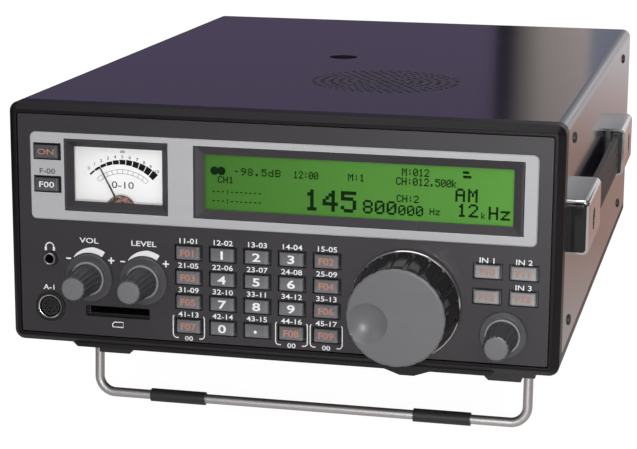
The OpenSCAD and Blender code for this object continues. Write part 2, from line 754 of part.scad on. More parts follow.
// Openings of the meter and the display, and of the two keys beside them
module plate_openings() {
    y0 = PLATE_FACE - 1;
    y1 = PANEL_BACK + 1;
    front_box(METER_X, METER_Z, meter_w + 2 * fit, meter_h + 2 * fit, y0, y1);
    front_box(LCD_X, LCD_Z, LCD_W + 2 * fit, lcd_h + 2 * fit, y0, y1);
    for (k = PLATE_KEYS) key_opening([PLATE_KEYS_X, k[1]], key_h);
}

module front_panel() {
    w = OPENING_W - 2 * panel_gap;
    h = OPENING_H - 2 * panel_gap;
    color([0.27, 0.26, 0.27]) difference() {
        union() {
            rounded_front(0, body_h / 2, w, h, panel_corner, panel_set, PANEL_BACK);
            for (b = BOSSES) rod_y(b[0], b[1], BOSS_R, PANEL_BACK - EPS, BOARD_Y);
        }
        plate_openings();
        for (k = KEYPAD) key_opening(keypad_at(k), key_h);
        for (k = SIDE_KEYS) key_opening(side_key_at(k), side_key_h);
        for (c = CONTROLS) rod_y(c[0], c[1], bush_r(c) + fit, -1, PANEL_BACK + 1);
        rod_y(PHONES_X, PHONES_Z, phones_bush_d / 2 + fit, -1, PANEL_BACK + 1);
        rod_y(ACC_X, acc_z, acc_d / 2 + fit, -1, PANEL_BACK + 1);
        rounded_front(CARD_X, CARD_Z, card_slot_w, card_slot_h, 0.8, -1, PANEL_BACK + 1);
    }
}

module display_plate() {
    color([0.72, 0.72, 0.73]) difference() {
        sloped_plate(0, PLATE_Z, PLATE_W, plate_h, plate_r, plate_bevel, plate_bevel, PLATE_FACE,
                     panel_set);
        plate_openings();
    }
}

module meter_case() {
    back = INSET_FACE + meter_d;
    side = (meter_w - meter_win_w) / 2 - meter_wall / 2;
    color([0.1, 0.1, 0.11]) {
        difference() {
            union() {
                front_box(METER_X, METER_Z, meter_w, meter_h, INSET_FACE, back);
                front_box(METER_X, METER_LOW_Z, meter_w, meter_h + meter_drop, PANEL_BACK, back);
                front_box(METER_X, METER_LOW_Z, meter_w + 2 * FLANGE, meter_h + meter_drop + 2 * FLANGE,
                          PANEL_BACK, PANEL_BACK + FLANGE_T);
            }
            funnel(METER_X, METER_Z, meter_win_w + 2 * side, meter_win_h + 2 * side, side, INSET_FACE - EPS,
                   METER_WINDOW_Y);
            front_box(METER_X, METER_Z, meter_win_w, meter_win_h, METER_WINDOW_Y - 1, METER_WINDOW_Y + 1);
            front_box(METER_X, METER_Z, METER_CAVITY_W, METER_CAVITY_H, METER_WINDOW_Y, SCALE_Y + SCALE_T);
            front_box(METER_X, METER_LOW_Z, METER_CAVITY_W, METER_TALL, PANEL_BACK + meter_wall,
                      SCALE_Y + SCALE_T);
            front_box(METER_X, METER_LOW_Z, METER_CAVITY_W - 2 * SHOULDER, METER_TALL - 2 * SHOULDER,
                      SCALE_Y, back - meter_wall);
        }
        // Half-round cover in front of the pivot, standing on the floor of the case
        along_y(PIVOT_COVER_Y, PIVOT_COVER_Y + PIVOT_COVER_T) intersection() {
            translate([PIVOT_X, PIVOT_Z]) circle(pivot_cover_r);
            translate([METER_X - meter_w / 2, METER_FLOOR - meter_wall / 2]) square([meter_w, meter_h]);
        }
    }
}

// Scale plate, with the coil of the movement behind it
module meter_scale() {
    color([0.95, 0.95, 0.93]) {
        difference() {
            front_box(METER_X, METER_LOW_Z, METER_CAVITY_W - 2 * fit, METER_TALL - 2 * fit, SCALE_Y,
                      SCALE_Y + SCALE_T);
            rod_y(PIVOT_X, PIVOT_Z, PIVOT_R + shaft_fit, SCALE_Y - 1, SCALE_Y + SCALE_T + 1);
        }
        rod_y(PIVOT_X, METER_Z, MOVEMENT_R, SCALE_Y + SCALE_T, INSET_FACE + meter_d - meter_wall - fit);
    }
}

module meter_needle() {
    color([0.07, 0.07, 0.08]) translate([PIVOT_X, 0, PIVOT_Z]) rotate([0, -needle_lean, 0]) {
        along_y(NEEDLE_Y, NEEDLE_Y + NEEDLE_T)
            polygon([[-NEEDLE_W / 2, 0], [NEEDLE_W / 2, 0], [NEEDLE_W / 4, needle_len],
                     [-NEEDLE_W / 4, needle_len]]);
        rod_y(0, 0, HUB_R, NEEDLE_Y, NEEDLE_Y + HUB_T);
        rod_y(0, 0, PIVOT_R, NEEDLE_Y, SCALE_Y + SCALE_T);
    }
}

module lcd_mask() {
    side = (LCD_W - LCD_WIN_W) / 2 - LCD_RIM;
    color([0.09, 0.09, 0.1]) difference() {
        union() {
            front_box(LCD_X, LCD_Z, LCD_W, lcd_h, INSET_FACE, MASK_BACK);
            front_box(LCD_X, LCD_Z, LCD_W + 2 * FLANGE, lcd_h + 2 * FLANGE, PANEL_BACK, MASK_BACK);
        }
        funnel(LCD_X, LCD_Z, LCD_WIN_W + 2 * side, lcd_win_h + 2 * side, side, INSET_FACE - EPS,
               LCD_WINDOW_Y);
        front_box(LCD_X, LCD_Z, LCD_WIN_W, lcd_win_h, INSET_FACE, LCD_WINDOW_Y + 1);
        front_box(LCD_X, LCD_Z, LCD_WIN_W + 2 * LCD_LIP, lcd_win_h + 2 * LCD_LIP, LCD_WINDOW_Y,
                  MASK_BACK + 1);
    }
}

// Display glass and the carrier board that closes the mask
module lcd_panel() {
    color([0.36, 0.6, 0.25]) {
        front_box(LCD_X, LCD_Z, LCD_GLASS_W, LCD_GLASS_H, LCD_GLASS_Y, MASK_BACK);
        front_box(LCD_X, LCD_Z, LCD_W, lcd_h, MASK_BACK + HAIRLINE, MASK_BACK + HAIRLINE + board_t);
    }
}

module display_windows() {
    color([0.85, 0.9, 0.92, 0.35]) {
        front_box(METER_X, METER_Z, METER_CAVITY_W - 2 * fit, METER_CAVITY_H - 2 * fit, METER_WINDOW_Y,
                  METER_WINDOW_Y + window_t);
        front_box(LCD_X, LCD_Z, LCD_GLASS_W, LCD_GLASS_H, LCD_WINDOW_Y, LCD_GLASS_Y);
    }
}

// Strip of width w from front to back, with its front corners bevelled by side
module bevelled(w, front, back, side) {
    polygon([[-w / 2, back], [-w / 2, front + side], [side - w / 2, front], [w / 2 - side, front],
             [w / 2, front + side], [w / 2, back]]);
}

// Key with bevelled front edges, a flange behind the panel and a stem over its switch
module key(x, z, w, h, face, tone) {
    color(tone) translate([x, 0, z]) {
        intersection() {
            along_z(-h, h) bevelled(w, face, KEY_SEAT, key_bevel);
            along_x(-w, w) mirror([1, 0]) rotate(90) bevelled(h, face, KEY_SEAT, key_bevel);
        }
        front_box(0, 0, w + 2 * KEY_FLANGE_X, h + 2 * KEY_FLANGE_Z, KEY_SEAT, KEY_SEAT + KEY_FLANGE_T);
        front_box(0, 0, STEM_W, STEM_W, KEY_SEAT, KEY_BACK);
    }
}

module keypad_key(k) {
    key(keypad_at(k)[0], keypad_at(k)[1], key_w, key_h, panel_set - key_proud, [0.49, 0.49, 0.5]);
}

module side_key(k) {
    key(side_key_at(k)[0], side_key_at(k)[1], key_w, side_key_h, panel_set - key_proud, [0.67, 0.67, 0.68]);
}

module plate_key(k) {
    key(PLATE_KEYS_X, k[1], key_w, key_h, PLATE_FACE - key_proud, [0.3, 0.3, 0.31]);
}

// Round bore with the shaft's flat, from h0 to h1 in front of the panel
module flatted_bore(d, h0, h1) {
    translate([0, 0, h0]) linear_extrude(h1 - h0) flatted(d + 2 * shaft_fit);
}

module flatted(d) {
    intersection() {
        circle(d = d);
        translate([-d, -d]) square([2 * d, d + SHAFT_FLAT * d]);
    }
}

// Control axis at the panel's face, with the height of the children measured forwards
module on_panel(c) {
    translate([c[0], panel_set, c[1]]) rotate([90, 0, 0]) children();
}

module main_dial() {
    face_r = dial_face_d / 2;
    flange_r = dial_flange_d / 2;
    back = DIAL_FLOAT;
    neck_r = flange_r - DIAL_LIP;
    edge = 0.8;
    wall = 3;
    hub_r = dial_shaft_d / 2 + 3;
    flute_r = 1.2;
    grip_h = dial_len - back - dial_flange_t - 2 * edge;
    taper = atan2(neck_r - face_r, grip_h);
    dimple_ball = (dimple_r * dimple_r + dimple_depth * dimple_depth) / (2 * dimple_depth);
    color([0.4, 0.4, 0.41]) on_panel(DIAL_CONTROL) difference() {
        rotate_extrude() polygon([
            [0, KNOB_RECESS], [hub_r, KNOB_RECESS], [hub_r, dial_len - DIAL_FRONT_WALL],
            [face_r - wall, dial_len - DIAL_FRONT_WALL], [face_r - wall, back], [flange_r, back],
            [flange_r, back + dial_flange_t], [neck_r, back + dial_flange_t + edge],
            [face_r, dial_len - edge], [face_r - edge, dial_len], [0, dial_len]]);
        for (i = [0 : dial_flutes - 1]) rotate(i * 360 / dial_flutes)
            translate([neck_r + flute_r - dial_flute_depth, 0, back + dial_flange_t + edge])
                rotate([0, -taper, 0]) cylinder(r = flute_r, h = dial_len);
        rotate(180 + dimple_angle) translate([dimple_out, 0, dial_len - dimple_depth + dimple_ball])
            sphere(dimple_ball);
        flatted_bore(dial_shaft_d, KNOB_RECESS - 1, dial_len - DIAL_FRONT_WALL - SHAFT_END);
    }
}

// Skirted knob with a raised ring and a fluted, tapering grip
module knob(c, skirt_d) {
    ring_r = knob_ring_d / 2;
    face_r = knob_face_d / 2;
    skirt_t = 1.6;
    ring_t = 3.2;
    grip_r = ring_r - 0.9;
    edge = 0.5;
    recess_r = bush_r(c) + NUT_WALL + 0.4;
    flute_r = 0.8;
    grip_h = knob_len - ring_t;
    tip_r = face_r + KNOB_LIP;
    taper = atan2(grip_r - tip_r, grip_h);
    color([0.38, 0.38, 0.39]) on_panel(c) difference() {
        rotate_extrude() polygon([
            [0, KNOB_RECESS], [recess_r, KNOB_RECESS], [recess_r, KNOB_FLOAT], [skirt_d / 2, KNOB_FLOAT],
            [skirt_d / 2, skirt_t - edge], [skirt_d / 2 - edge, skirt_t], [ring_r, skirt_t],
            [ring_r, ring_t], [grip_r, ring_t], [tip_r, knob_len - edge], [face_r, knob_len],
            [0, knob_len]]);
        for (i = [0 : knob_flutes - 1]) rotate(i * 360 / knob_flutes)
            translate([grip_r + 0.4 * flute_r, 0, ring_t + edge]) rotate([0, -taper, 0])
                cylinder(r = flute_r, h = grip_h + flute_r);
        flatted_bore(c[2], KNOB_RECESS - 1, knob_len - KNOB_CAP_WALL);
    }
}

// Shaft that turns in its bush, with a flat where the knob sits
module control_shaft(c, tip) {
    color([0.75, 0.75, 0.76]) on_panel(c) {
        translate([0, 0, panel_set - SHAFT_BACK])
            cylinder(d = c[2], h = SHAFT_BACK - panel_set + KNOB_RECESS);
        translate([0, 0, KNOB_RECESS]) linear_extrude(tip - KNOB_RECESS) flatted(c[2]);
    }
}

// Encoder or potentiometer body, its threaded bush and the nut that clamps it to the panel
module control_body(c) {
    bush = bush_r(c);
    difference() {
        union() {
            front_box(c[0], c[1], c[3], c[3], PANEL_BACK, BOARD_Y);
            rod_y(c[0], c[1], bush, panel_set - BUSH_OUT, PANEL_BACK + EPS);
        }
        rod_y(c[0], c[1], c[2] / 2 + shaft_fit, panel_set - BUSH_OUT - 1, SHAFT_BACK + fit);
    }
    difference() {
        on_panel(c) cylinder(r = bush + NUT_WALL, h = NUT_T, $fn = 6);
        rod_y(c[0], c[1], bush + HAIRLINE, panel_set - NUT_T - 1, panel_set + 1);
    }
}

module control_bodies() {
    color([0.6, 0.6, 0.62]) for (c = CONTROLS) control_body(c);
}

// Push switch on a board's front
module push_switch(x, z) {
    front_box(x, z, SWITCH_W, SWITCH_W, BOARD_Y - SWITCH_H, BOARD_Y + EPS);
    rod_y(x, z, PLUNGER_R, PLUNGER_Y, BOARD_Y - SWITCH_H + EPS);
}

// Boards behind the panel with the keys' switches, and the main board on the chassis
module circuit_boards() {
    tuner_y = MAIN_FRONT + BLOCK_IN;
    mixer_y = tuner_y + TUNER_L;
    supply_y = DECK_END - 2 * BLOCK_IN - SUPPLY_L;
    color([0.1, 0.32, 0.2]) {
        along_y(BOARD_Y, BOARD_Y + board_t)
            polygon([[NOTCH_X, BOARD_LOW], [BOARD_HALF, BOARD_LOW], [BOARD_HALF, BOARD_TOP],
                     [BOARD_LEFT, BOARD_TOP], [BOARD_LEFT, NOTCH_Z], [NOTCH_X, NOTCH_Z]]);
        for (p = KEY_PLACES) push_switch(p[0], p[1]);
        front_box(PLATE_BOARD_X, PLATE_BOARD_Z, PLATE_BOARD_W, PLATE_BOARD_H, BOARD_Y, BOARD_Y + board_t);
        for (k = PLATE_KEYS) push_switch(PLATE_KEYS_X, k[1]);
        difference() {
            union() {
                box(-MAIN_HALF, MAIN_HALF, MAIN_FRONT, DECK_END, MAIN_Z, MAIN_Z + board_t);
                box(BLOCK_IN - MAIN_HALF, BLOCK_IN + BLOCK_W - MAIN_HALF, tuner_y, tuner_y + TUNER_L,
                    MAIN_Z, MAIN_Z + TUNER_H);
                box(MAIN_HALF - BLOCK_IN - BLOCK_W, MAIN_HALF - BLOCK_IN, mixer_y, mixer_y + MIXER_L,
                    MAIN_Z, MAIN_Z + MIXER_H);
                box(-SUPPLY_W / 2, SUPPLY_W / 2, supply_y, supply_y + SUPPLY_L, MAIN_Z, MAIN_Z + SUPPLY_H);
            }
            rod_z(recess_x, recess_y, POST_R + POST_ROOM, MAIN_Z - 1, MAIN_Z + MIXER_H + 1);
        }
    }
}

module phones_jack() {
    bore_end = PHONES_FACE + phones_depth;
    color([0.08, 0.08, 0.09]) difference() {
        union() {
            rod_y(PHONES_X, PHONES_Z, phones_bush_d / 2, PHONES_FACE, PANEL_BACK + EPS);
            front_box(PHONES_X, PHONES_Z, PHONES_W, PHONES_W, PANEL_BACK, bore_end + PHONES_FLOOR);
        }
        rod_y(PHONES_X, PHONES_Z, phones_bore_d / 2, PHONES_FACE - 1, bore_end);
    }
}

// Round socket: a shell around an insulator with a ring of contacts and a locating slot
module round_socket(x, z, d, y0, y1) {
    shell = 1.4;
    groove = 1.2;
    core_r = d / 2 - shell - groove;
    contacts = 7;
    contact_r = 0.45;
    groove_deep = 6;
    difference() {
        rod_y(x, z, d / 2, y0, y1);
        difference() {
            rod_y(x, z, d / 2 - shell, y0 - 1, y0 + groove_deep);
            rod_y(x, z, core_r, y0 + 0.6, y0 + groove_deep + 1);
        }
        for (i = [0 : contacts - 1]) rotate_about_y(x, z, i * 360 / contacts)
            rod_y(x + 0.66 * core_r, z, contact_r, y0 - 1, y0 + groove_deep);
        front_box(x, z - 0.2 * core_r, 1.3, 0.8, y0 - 1, y0 + groove_deep);
    }
}

module rotate_about_y(x, z, angle) {
    translate([x, 0, z]) rotate([0, angle, 0]) translate([-x, 0, -z]) children();
}

module accessory_socket() {
    color([0.07, 0.07, 0.08]) {
        round_socket(ACC_X, acc_z, acc_d, panel_set - 0.5, PANEL_BACK + 10);
        difference() {
            front_box(ACC_X, acc_z, acc_d + 2, acc_d + 2, PANEL_BACK, PANEL_BACK + 8);
            rod_y(ACC_X, acc_z, acc_d / 2, PANEL_BACK - 1, PANEL_BACK + 9);
        }
    }
}

module card_socket() {
    wall = 1.2;
    color([0.3, 0.3, 0.32]) difference() {
        union() {
            front_box(CARD_X, CARD_Z, card_slot_w + 2 * wall, card_slot_h + 2 * wall, PANEL_BACK,
                      PANEL_BACK + 1);
            front_box(CARD_X, CARD_Z, CARD_W + 2 * wall, CARD_H + 2 * wall, PANEL_BACK,
                      PANEL_BACK + card_len);
        }
        front_box(CARD_X, CARD_Z, CARD_W, CARD_H, PANEL_BACK - 1, PANEL_BACK + card_len - wall);
    }
}

// Rings of holes, six more in each ring than in the last
module grille_holes() {
    translate([grille_x, grille_y, ROOF_Z - 1]) {
        cylinder(d = grille_hole_d, h = sheet_t + 2, $fn = 24);
        for (ring = [1 : grille_rings], i = [0 : 6 * ring - 1]) rotate(i * 60 / ring)
            translate([ring * grille_pitch, 0, 0]) cylinder(d = grille_hole_d, h = sheet_t + 2, $fn = 24);
    }
}

// Places of the screws on one side, behind the front rim and upwards
SIDE_SCREWS = [for (y = [screw_front_y, body_d - screw_rear_inset], z = [screw_low_z, SCREW_TOP_Z]) [y, z]];
// Handle screws on the right side, behind the front rim
HANDLE_SCREWS = [handle_y + CAP_SCREW_AT, handle_y + HANDLE_LEN - CAP_SCREW_AT];
RECESS_FLOOR_R = recess_d / 2 - 1.8;
// Depth of a screw in a post, and its length beyond the plate it holds
POST_BITE = 8;
SCREW_TAIL = 3;

module top_cover() {
    color([0.3, 0.26, 0.35]) difference() {
        union() {
            along_y(frame_d, body_d) intersection() {
                case_outline();
                translate([-HALF_W, lip_h + seam]) square([body_w, body_h]);
            }
            translate([recess_x, recess_y, ROOF_Z - recess_h])
                cylinder(r1 = RECESS_FLOOR_R + sheet_t, r2 = recess_d / 2 + sheet_t,
                         h = recess_h + sheet_t / 2);
        }
        translate([recess_x, recess_y, body_h - recess_h])
            cylinder(r1 = RECESS_FLOOR_R, r2 = recess_d / 2, h = recess_h + EPS);
        rod_z(recess_x, recess_y, screw_d / 2 + fit, 0, body_h);
        grille_holes();
        for (s = SIDE_SCREWS) rod_x(s[0], s[1], screw_d / 2 + fit, -HALF_W - 1, HALF_W + 1);
        for (y = HANDLE_SCREWS) rod_x(y, handle_z, screw_d / 2 + fit, 0, HALF_W + 1);
    }
}

// Screws up through the four feet, right and behind the front rim
FOOT_SCREWS = [for (x = [-1, 1], y = [front_foot_y + FOOT_SCREW_IN, REAR_FOOT_END - foot_len / 2])
               [x * FOOT_SCREW_X, y]];

module bottom_cover() {
    color([0.12, 0.12, 0.13]) difference() {
        along_y(frame_d, body_d) intersection() {
            case_outline();
            translate([-HALF_W, 0]) square([body_w, lip_h]);
        }
        for (s = FOOT_SCREWS) rod_z(s[0], s[1], screw_d / 2 + fit, -1, sheet_t + 1);
    }
}

// Rear sockets in the lower row: place to the right and hole radius
DC_X = dc_x * ACROSS;
SPEAKER_JACK_X = speaker_jack_x * ACROSS;
REAR_ACC_X = rear_acc_x * ACROSS;
USB_X = usb_x * ACROSS;
BNC_X = [for (i = [0, 1]) -(bnc_x + i * bnc_pitch) * ACROSS];
BNC_R = 4.8;
BNC_OUT = 11;
BNC_DEPTH = 8;
BNC_WALL = 0.8;
BNC_RING = 1.9;
BNC_RING_T = 1.6;
BNC_LUG_R = 1;
CONTACT_STEP = 1;
DC_R = 5.5;
DC_WALL = 2;
DC_DEPTH = 9;
JACK_R = 3.2;
USB_W = 12.5;
USB_H = 11.2;
USB_WALL = 1.2;
USB_DEPTH = 8;
USB_TONGUE_W = 6.5;
USB_TONGUE_T = 3;
GROUND_R = 2;
GROUND_LEN = 10;
GROUND_NUT_R = 4.5;
GROUND_NUT_T = 5;
// Rear panel screws, from the centre
REAR_SCREW_X = CHASSIS_HALF - chassis_t - 5;
REAR_SCREWS = [for (x = [-1, 1], z = [screw_low_z, SCREW_TOP_Z]) [x * REAR_SCREW_X, z]];

module rear_panel() {
    w = body_w - 2 * (sheet_t + fit);
    h = body_h - 2 * (sheet_t + fit);
    y0 = body_d - rear_t;
    color([0.14, 0.14, 0.15]) difference() {
        rounded_front(0, body_h / 2, w, h, bend_r - sheet_t, y0, body_d);
        for (x = [-1, 1]) rod_y(x * ANTENNA_X, antenna_z, antenna_d / 2 + fit, y0 - 1, body_d + 1);
        for (x = BNC_X) rod_y(x, rear_row_z, BNC_R + fit, y0 - 1, body_d + 1);
        rod_y(DC_X, rear_row_z, DC_R + fit, y0 - 1, body_d + 1);
        rod_y(SPEAKER_JACK_X, rear_row_z, JACK_R + fit, y0 - 1, body_d + 1);
        rod_y(REAR_ACC_X, rear_row_z, acc_d / 2 + fit, y0 - 1, body_d + 1);
        front_box(USB_X, rear_row_z, USB_W + 2 * fit, USB_H + 2 * fit, y0 - 1, body_d + 1);
        rod_y(GROUND_X, rear_row_z, GROUND_R + fit, y0 - 1, body_d + 1);
        for (s = REAR_SCREWS) rod_y(s[0], s[1], screw_d / 2 + fit, y0 - 1, body_d + 1);
    }
}

// Threaded coaxial socket on a square flange, with its centre contact
module antenna_socket(x) {
    flange_y = body_d + ANTENNA_FLANGE_T;
    end = flange_y + antenna_len;
    difference() {
        union() {
            rounded_front(x, antenna_z, ANTENNA_FLANGE_W, ANTENNA_FLANGE_W, 2, body_d, flange_y);
            rod_y(x, antenna_z, antenna_d / 2, body_d - REAR_BODY, end);
        }
        difference() {
            rod_y(x, antenna_z, ANTENNA_BORE_D / 2, flange_y, end + 1);
            rod_y(x, antenna_z, 1.6, flange_y - 1, end - 3);
        }
        rod_y(x, antenna_z, 0.8, end - 9, end);
    }
}

// Bayonet socket with its two lugs
module bayonet_socket(x) {
    end = body_d + BNC_OUT;
    difference() {
        union() {
            rod_y(x, rear_row_z, BNC_R, body_d - REAR_BODY, end);
            rod_y(x, rear_row_z, BNC_R + BNC_RING, body_d, body_d + BNC_RING_T);
            translate([x, end - BNC_DEPTH / 2, rear_row_z])
                cylinder(r = BNC_LUG_R, h = 2 * (BNC_R + BNC_LUG_R), center = true);
        }
        difference() {
            rod_y(x, rear_row_z, BNC_R - BNC_WALL, end - BNC_DEPTH, end + 1);
            rod_y(x, rear_row_z, BNC_LUG_R, end - BNC_DEPTH - CONTACT_STEP, end - CONTACT_STEP);
        }
    }
}

module rear_connectors() {
    color([0.7, 0.68, 0.62]) {
        for (s = [-1, 1]) antenna_socket(s * ANTENNA_X);
        for (x = BNC_X) bayonet_socket(x);
        difference() {
            rod_y(DC_X, rear_row_z, DC_R, body_d - REAR_BODY, body_d + 1);
            difference() {
                rod_y(DC_X, rear_row_z, DC_R - DC_WALL, body_d - DC_DEPTH, body_d + 2);
                rod_y(DC_X, rear_row_z, BNC_LUG_R, body_d - DC_DEPTH - CONTACT_STEP, body_d);
            }
        }
        difference() {
            rod_y(SPEAKER_JACK_X, rear_row_z, JACK_R, body_d - REAR_BODY, body_d + 1);
            rod_y(SPEAKER_JACK_X, rear_row_z, phones_bore_d / 2, body_d - REAR_BODY + 1, body_d + 2);
        }
        mirror([0, 1, 0]) round_socket(REAR_ACC_X, rear_row_z, acc_d, -body_d - 0.5, REAR_BODY - body_d);
        difference() {
            front_box(USB_X, rear_row_z, USB_W, USB_H, body_d - REAR_BODY, body_d + 1);
            front_box(USB_X, rear_row_z, USB_W - 2 * USB_WALL, USB_H - 2 * USB_WALL, body_d - USB_DEPTH,
                      body_d + 2);
        }
        front_box(USB_X, rear_row_z, USB_TONGUE_W, USB_TONGUE_T, body_d - USB_DEPTH - CONTACT_STEP, body_d);
        rod_y(GROUND_X, rear_row_z, GROUND_R, body_d - REAR_BODY, body_d + GROUND_LEN);
        difference() {
            rod_y(GROUND_X, rear_row_z, GROUND_NUT_R, body_d, body_d + GROUND_NUT_T);
            rod_y(GROUND_X, rear_row_z, GROUND_R, body_d - 1, body_d + GROUND_NUT_T + 1);
        }
    }
}

// Side plates with bent-in tabs, the deck between them, and its posts
module chassis() {
    inner = CHASSIS_HALF - chassis_t;
    hole_r = screw_d / 2 + shaft_fit;
    color([0.66, 0.67, 0.69]) difference() {
        union() {
            for (s = [0, 1]) mirror([s, 0, 0]) {
                box(inner, CHASSIS_HALF, frame_d, CHASSIS_END, CHASSIS_LOW, CHASSIS_TOP);
                box(CHASSIS_HALF - TAB_W, CHASSIS_HALF, frame_d, frame_d + chassis_t, CHASSIS_LOW,
                    CHASSIS_TOP);
                box(inner - REAR_TAB_W, CHASSIS_HALF, CHASSIS_END - chassis_t, CHASSIS_END, CHASSIS_LOW,
                    CHASSIS_TOP);
            }
            box(-CHASSIS_HALF, CHASSIS_HALF, DECK_FRONT, DECK_END, deck_z, deck_z + chassis_t);
            for (p = STANDOFFS) rod_z(p[0], p[1], POST_R - 1, deck_z, MAIN_Z);
            for (s = FOOT_SCREWS) rod_z(s[0], s[1], POST_R, sheet_t, deck_z + EPS);
            rod_z(recess_x, recess_y, POST_R, deck_z, ROOF_Z - recess_h);
        }
        for (s = SIDE_SCREWS) rod_x(s[0], s[1], hole_r, -HALF_W, HALF_W);
        for (y = HANDLE_SCREWS) rod_x(y, handle_z, hole_r, 0, HALF_W);
        for (s = FOOT_SCREWS) rod_z(s[0], s[1], hole_r, 0, sheet_t + POST_BITE + 4);
        for (s = REAR_SCREWS) rod_y(s[0], s[1], hole_r, CHASSIS_END - 8, CHASSIS_END + 1);
        rod_z(recess_x, recess_y, hole_r, ROOF_Z - recess_h - POST_BITE - 4, ROOF_Z);
    }
}

// Loudspeaker under the grille: rim, cone basket and magnet
module speaker() {
    r = speaker_d / 2;
    rim_t = 2;
    magnet_r = 0.44 * r;
    magnet_t = 9;
    cone = 1;
    color([0.2, 0.2, 0.21]) translate([grille_x, grille_y, ROOF_Z]) mirror([0, 0, 1]) rotate_extrude()
        polygon([[r - 4, 0], [r, 0], [r, rim_t], [r - 3, rim_t], [magnet_r, speaker_h - magnet_t],
                 [magnet_r, speaker_h], [0, speaker_h], [0, speaker_h - magnet_t - cone],
                 [magnet_r - cone, speaker_h - magnet_t - cone], [r - 4, rim_t]]);
}

// Bright end cap at the front end: a hollow shoe with a mouth for the strap
module handle_cap() {
    y1 = handle_y + cap_len;
    mouth_h = cap_h - 2 * CAP_WALL;
    difference() {
        intersection() {
            along_z(handle_z - cap_h / 2, handle_z + cap_h / 2)
                polygon([[HALF_W, handle_y], [HALF_W + cap_out - CAP_SLOPE, handle_y],
                         [HALF_W + cap_out, handle_y + CAP_SLOPE], [HALF_W + cap_out, y1], [HALF_W, y1]]);
            along_x(HALF_W, HALF_W + cap_out) translate([handle_y + cap_len / 2, handle_z])
                rounded(cap_len, cap_h, 2);
        }
        box(HALF_W + CAP_WALL, HALF_W + cap_out - CAP_WALL, y1 - PLUG_IN - STRAP_FIT, y1 + 1,
            handle_z - mouth_h / 2, handle_z + mouth_h / 2);
        rod_x(handle_y + CAP_SCREW_AT, handle_z, screw_d / 2 + fit, HALF_W - 1, HALF_W + cap_out + 1);
        rod_x(handle_y + CAP_SCREW_AT, handle_z, CAP_RECESS_R, HALF_W + cap_out - CAP_RECESS,
              HALF_W + cap_out + 1);
    }
}

// Mirror image about the middle of the handle's length
module other_end() {
    mid = handle_y + HANDLE_LEN / 2;
    translate([0, mid, 0]) mirror([0, 1, 0]) translate([0, -mid, 0]) children();
}

module handle_caps() {
    color([0.8, 0.8, 0.82]) {
        handle_cap();
        other_end() handle_cap();
    }
}

// Plug at the strap's front end
module strap_plug() {
    y1 = handle_y + cap_len;
    play = 2 * (CAP_WALL + STRAP_FIT);
    along_y(y1 - PLUG_IN, y1 + PLUG_OUT) translate([HALF_W + cap_out / 2, handle_z])
        rounded(cap_out - play, cap_h - play, PLUG_R);
}

// Strap with grooves along its outer face, between its two plugs
module handle_strap() {
    y0 = handle_y + cap_len;
    y1 = y0 + strap_free;
    step = strap_w / RIBS;
    face = HALF_W + strap_gap + strap_t;
    color([0.06, 0.06, 0.07]) {
        difference() {
            box(face - strap_t, face, y0, y1, handle_z - strap_w / 2, handle_z + strap_w / 2);
            for (i = [1 : RIBS - 1]) translate([face, 0, handle_z - strap_w / 2 + i * step])
                rotate([0, 45, 0]) box(-RIB_DEPTH, RIB_DEPTH, y0 - 1, y1 + 1, -RIB_DEPTH, RIB_DEPTH);
        }
        strap_plug();
        other_end() strap_plug();
    }
}

// Right-hand front foot: roof, inner block with the pivot bore, outer cheek, and the leg's open slot
module front_foot() {
    y0 = front_foot_y;
    y1 = front_foot_y + foot_len;
    x0 = FOOT_OUT - foot_w;
    slot_x = LEG_X - wire_d / 2 - LEG_GAP;
    cheek_h = front_foot_h - 2;
    side = 1.5;
    difference() {
        union() {
            box(x0, FOOT_OUT, y0, y1, -FOOT_ROOF, 0);
            box(x0, FOOT_OUT, y0, y0 + FOOT_WALL, -cheek_h, 0);
            along_y(y0, y1)
                polygon([[x0, 0], [slot_x, 0], [slot_x, -front_foot_h], [x0 + side, -front_foot_h],
                         [x0, side - front_foot_h]]);
            along_x(FOOT_OUT - CHEEK_T, FOOT_OUT)
                polygon([[y0, 0], [y1, 0], [y1, side - cheek_h], [y1 - side, -cheek_h],
                         [y0 + side, -cheek_h], [y0, side - cheek_h]]);
        }
        rod_x(PIVOT_Y, -pivot_drop, wire_d / 2 + shaft_fit, LEG_X - PIN_LEN - fit, slot_x + 1);
        rod_z(FOOT_SCREW_X, y0 + FOOT_SCREW_IN, screw_d / 2 + fit, -front_foot_h - 1, 1);
        rod_z(FOOT_SCREW_X, y0 + FOOT_SCREW_IN, screw_head_d / 2 + 0.5, -front_foot_h - 1, -FOOT_ROOF);
    }
}

module rear_foot() {
    x0 = FOOT_OUT - foot_w;
    side = 1.5;
    y0 = REAR_FOOT_END - foot_len;
    difference() {
        along_y(y0, REAR_FOOT_END)
            polygon([[x0, 0], [FOOT_OUT, 0], [FOOT_OUT, side - foot_h], [FOOT_OUT - side, -foot_h],
                     [x0 + side, -foot_h], [x0, side - foot_h]]);
        rod_z(FOOT_SCREW_X, y0 + foot_len / 2, screw_d / 2 + fit, -foot_h - 1, 1);
        rod_z(FOOT_SCREW_X, y0 + foot_len / 2, screw_head_d / 2 + 0.5, -foot_h - 1, -FOOT_ROOF);
    }
}

module feet() {
    color([0.1, 0.1, 0.11]) for (s = [0, 1]) mirror([s, 0, 0]) {
        front_foot();
        rear_foot();
    }
}

// Bail's own frame: pivot line along X at the origin, legs downwards
module on_bail() {
    translate([0, PIVOT_Y, -pivot_drop]) rotate([-bail_lean, 0, 0]) children();
}

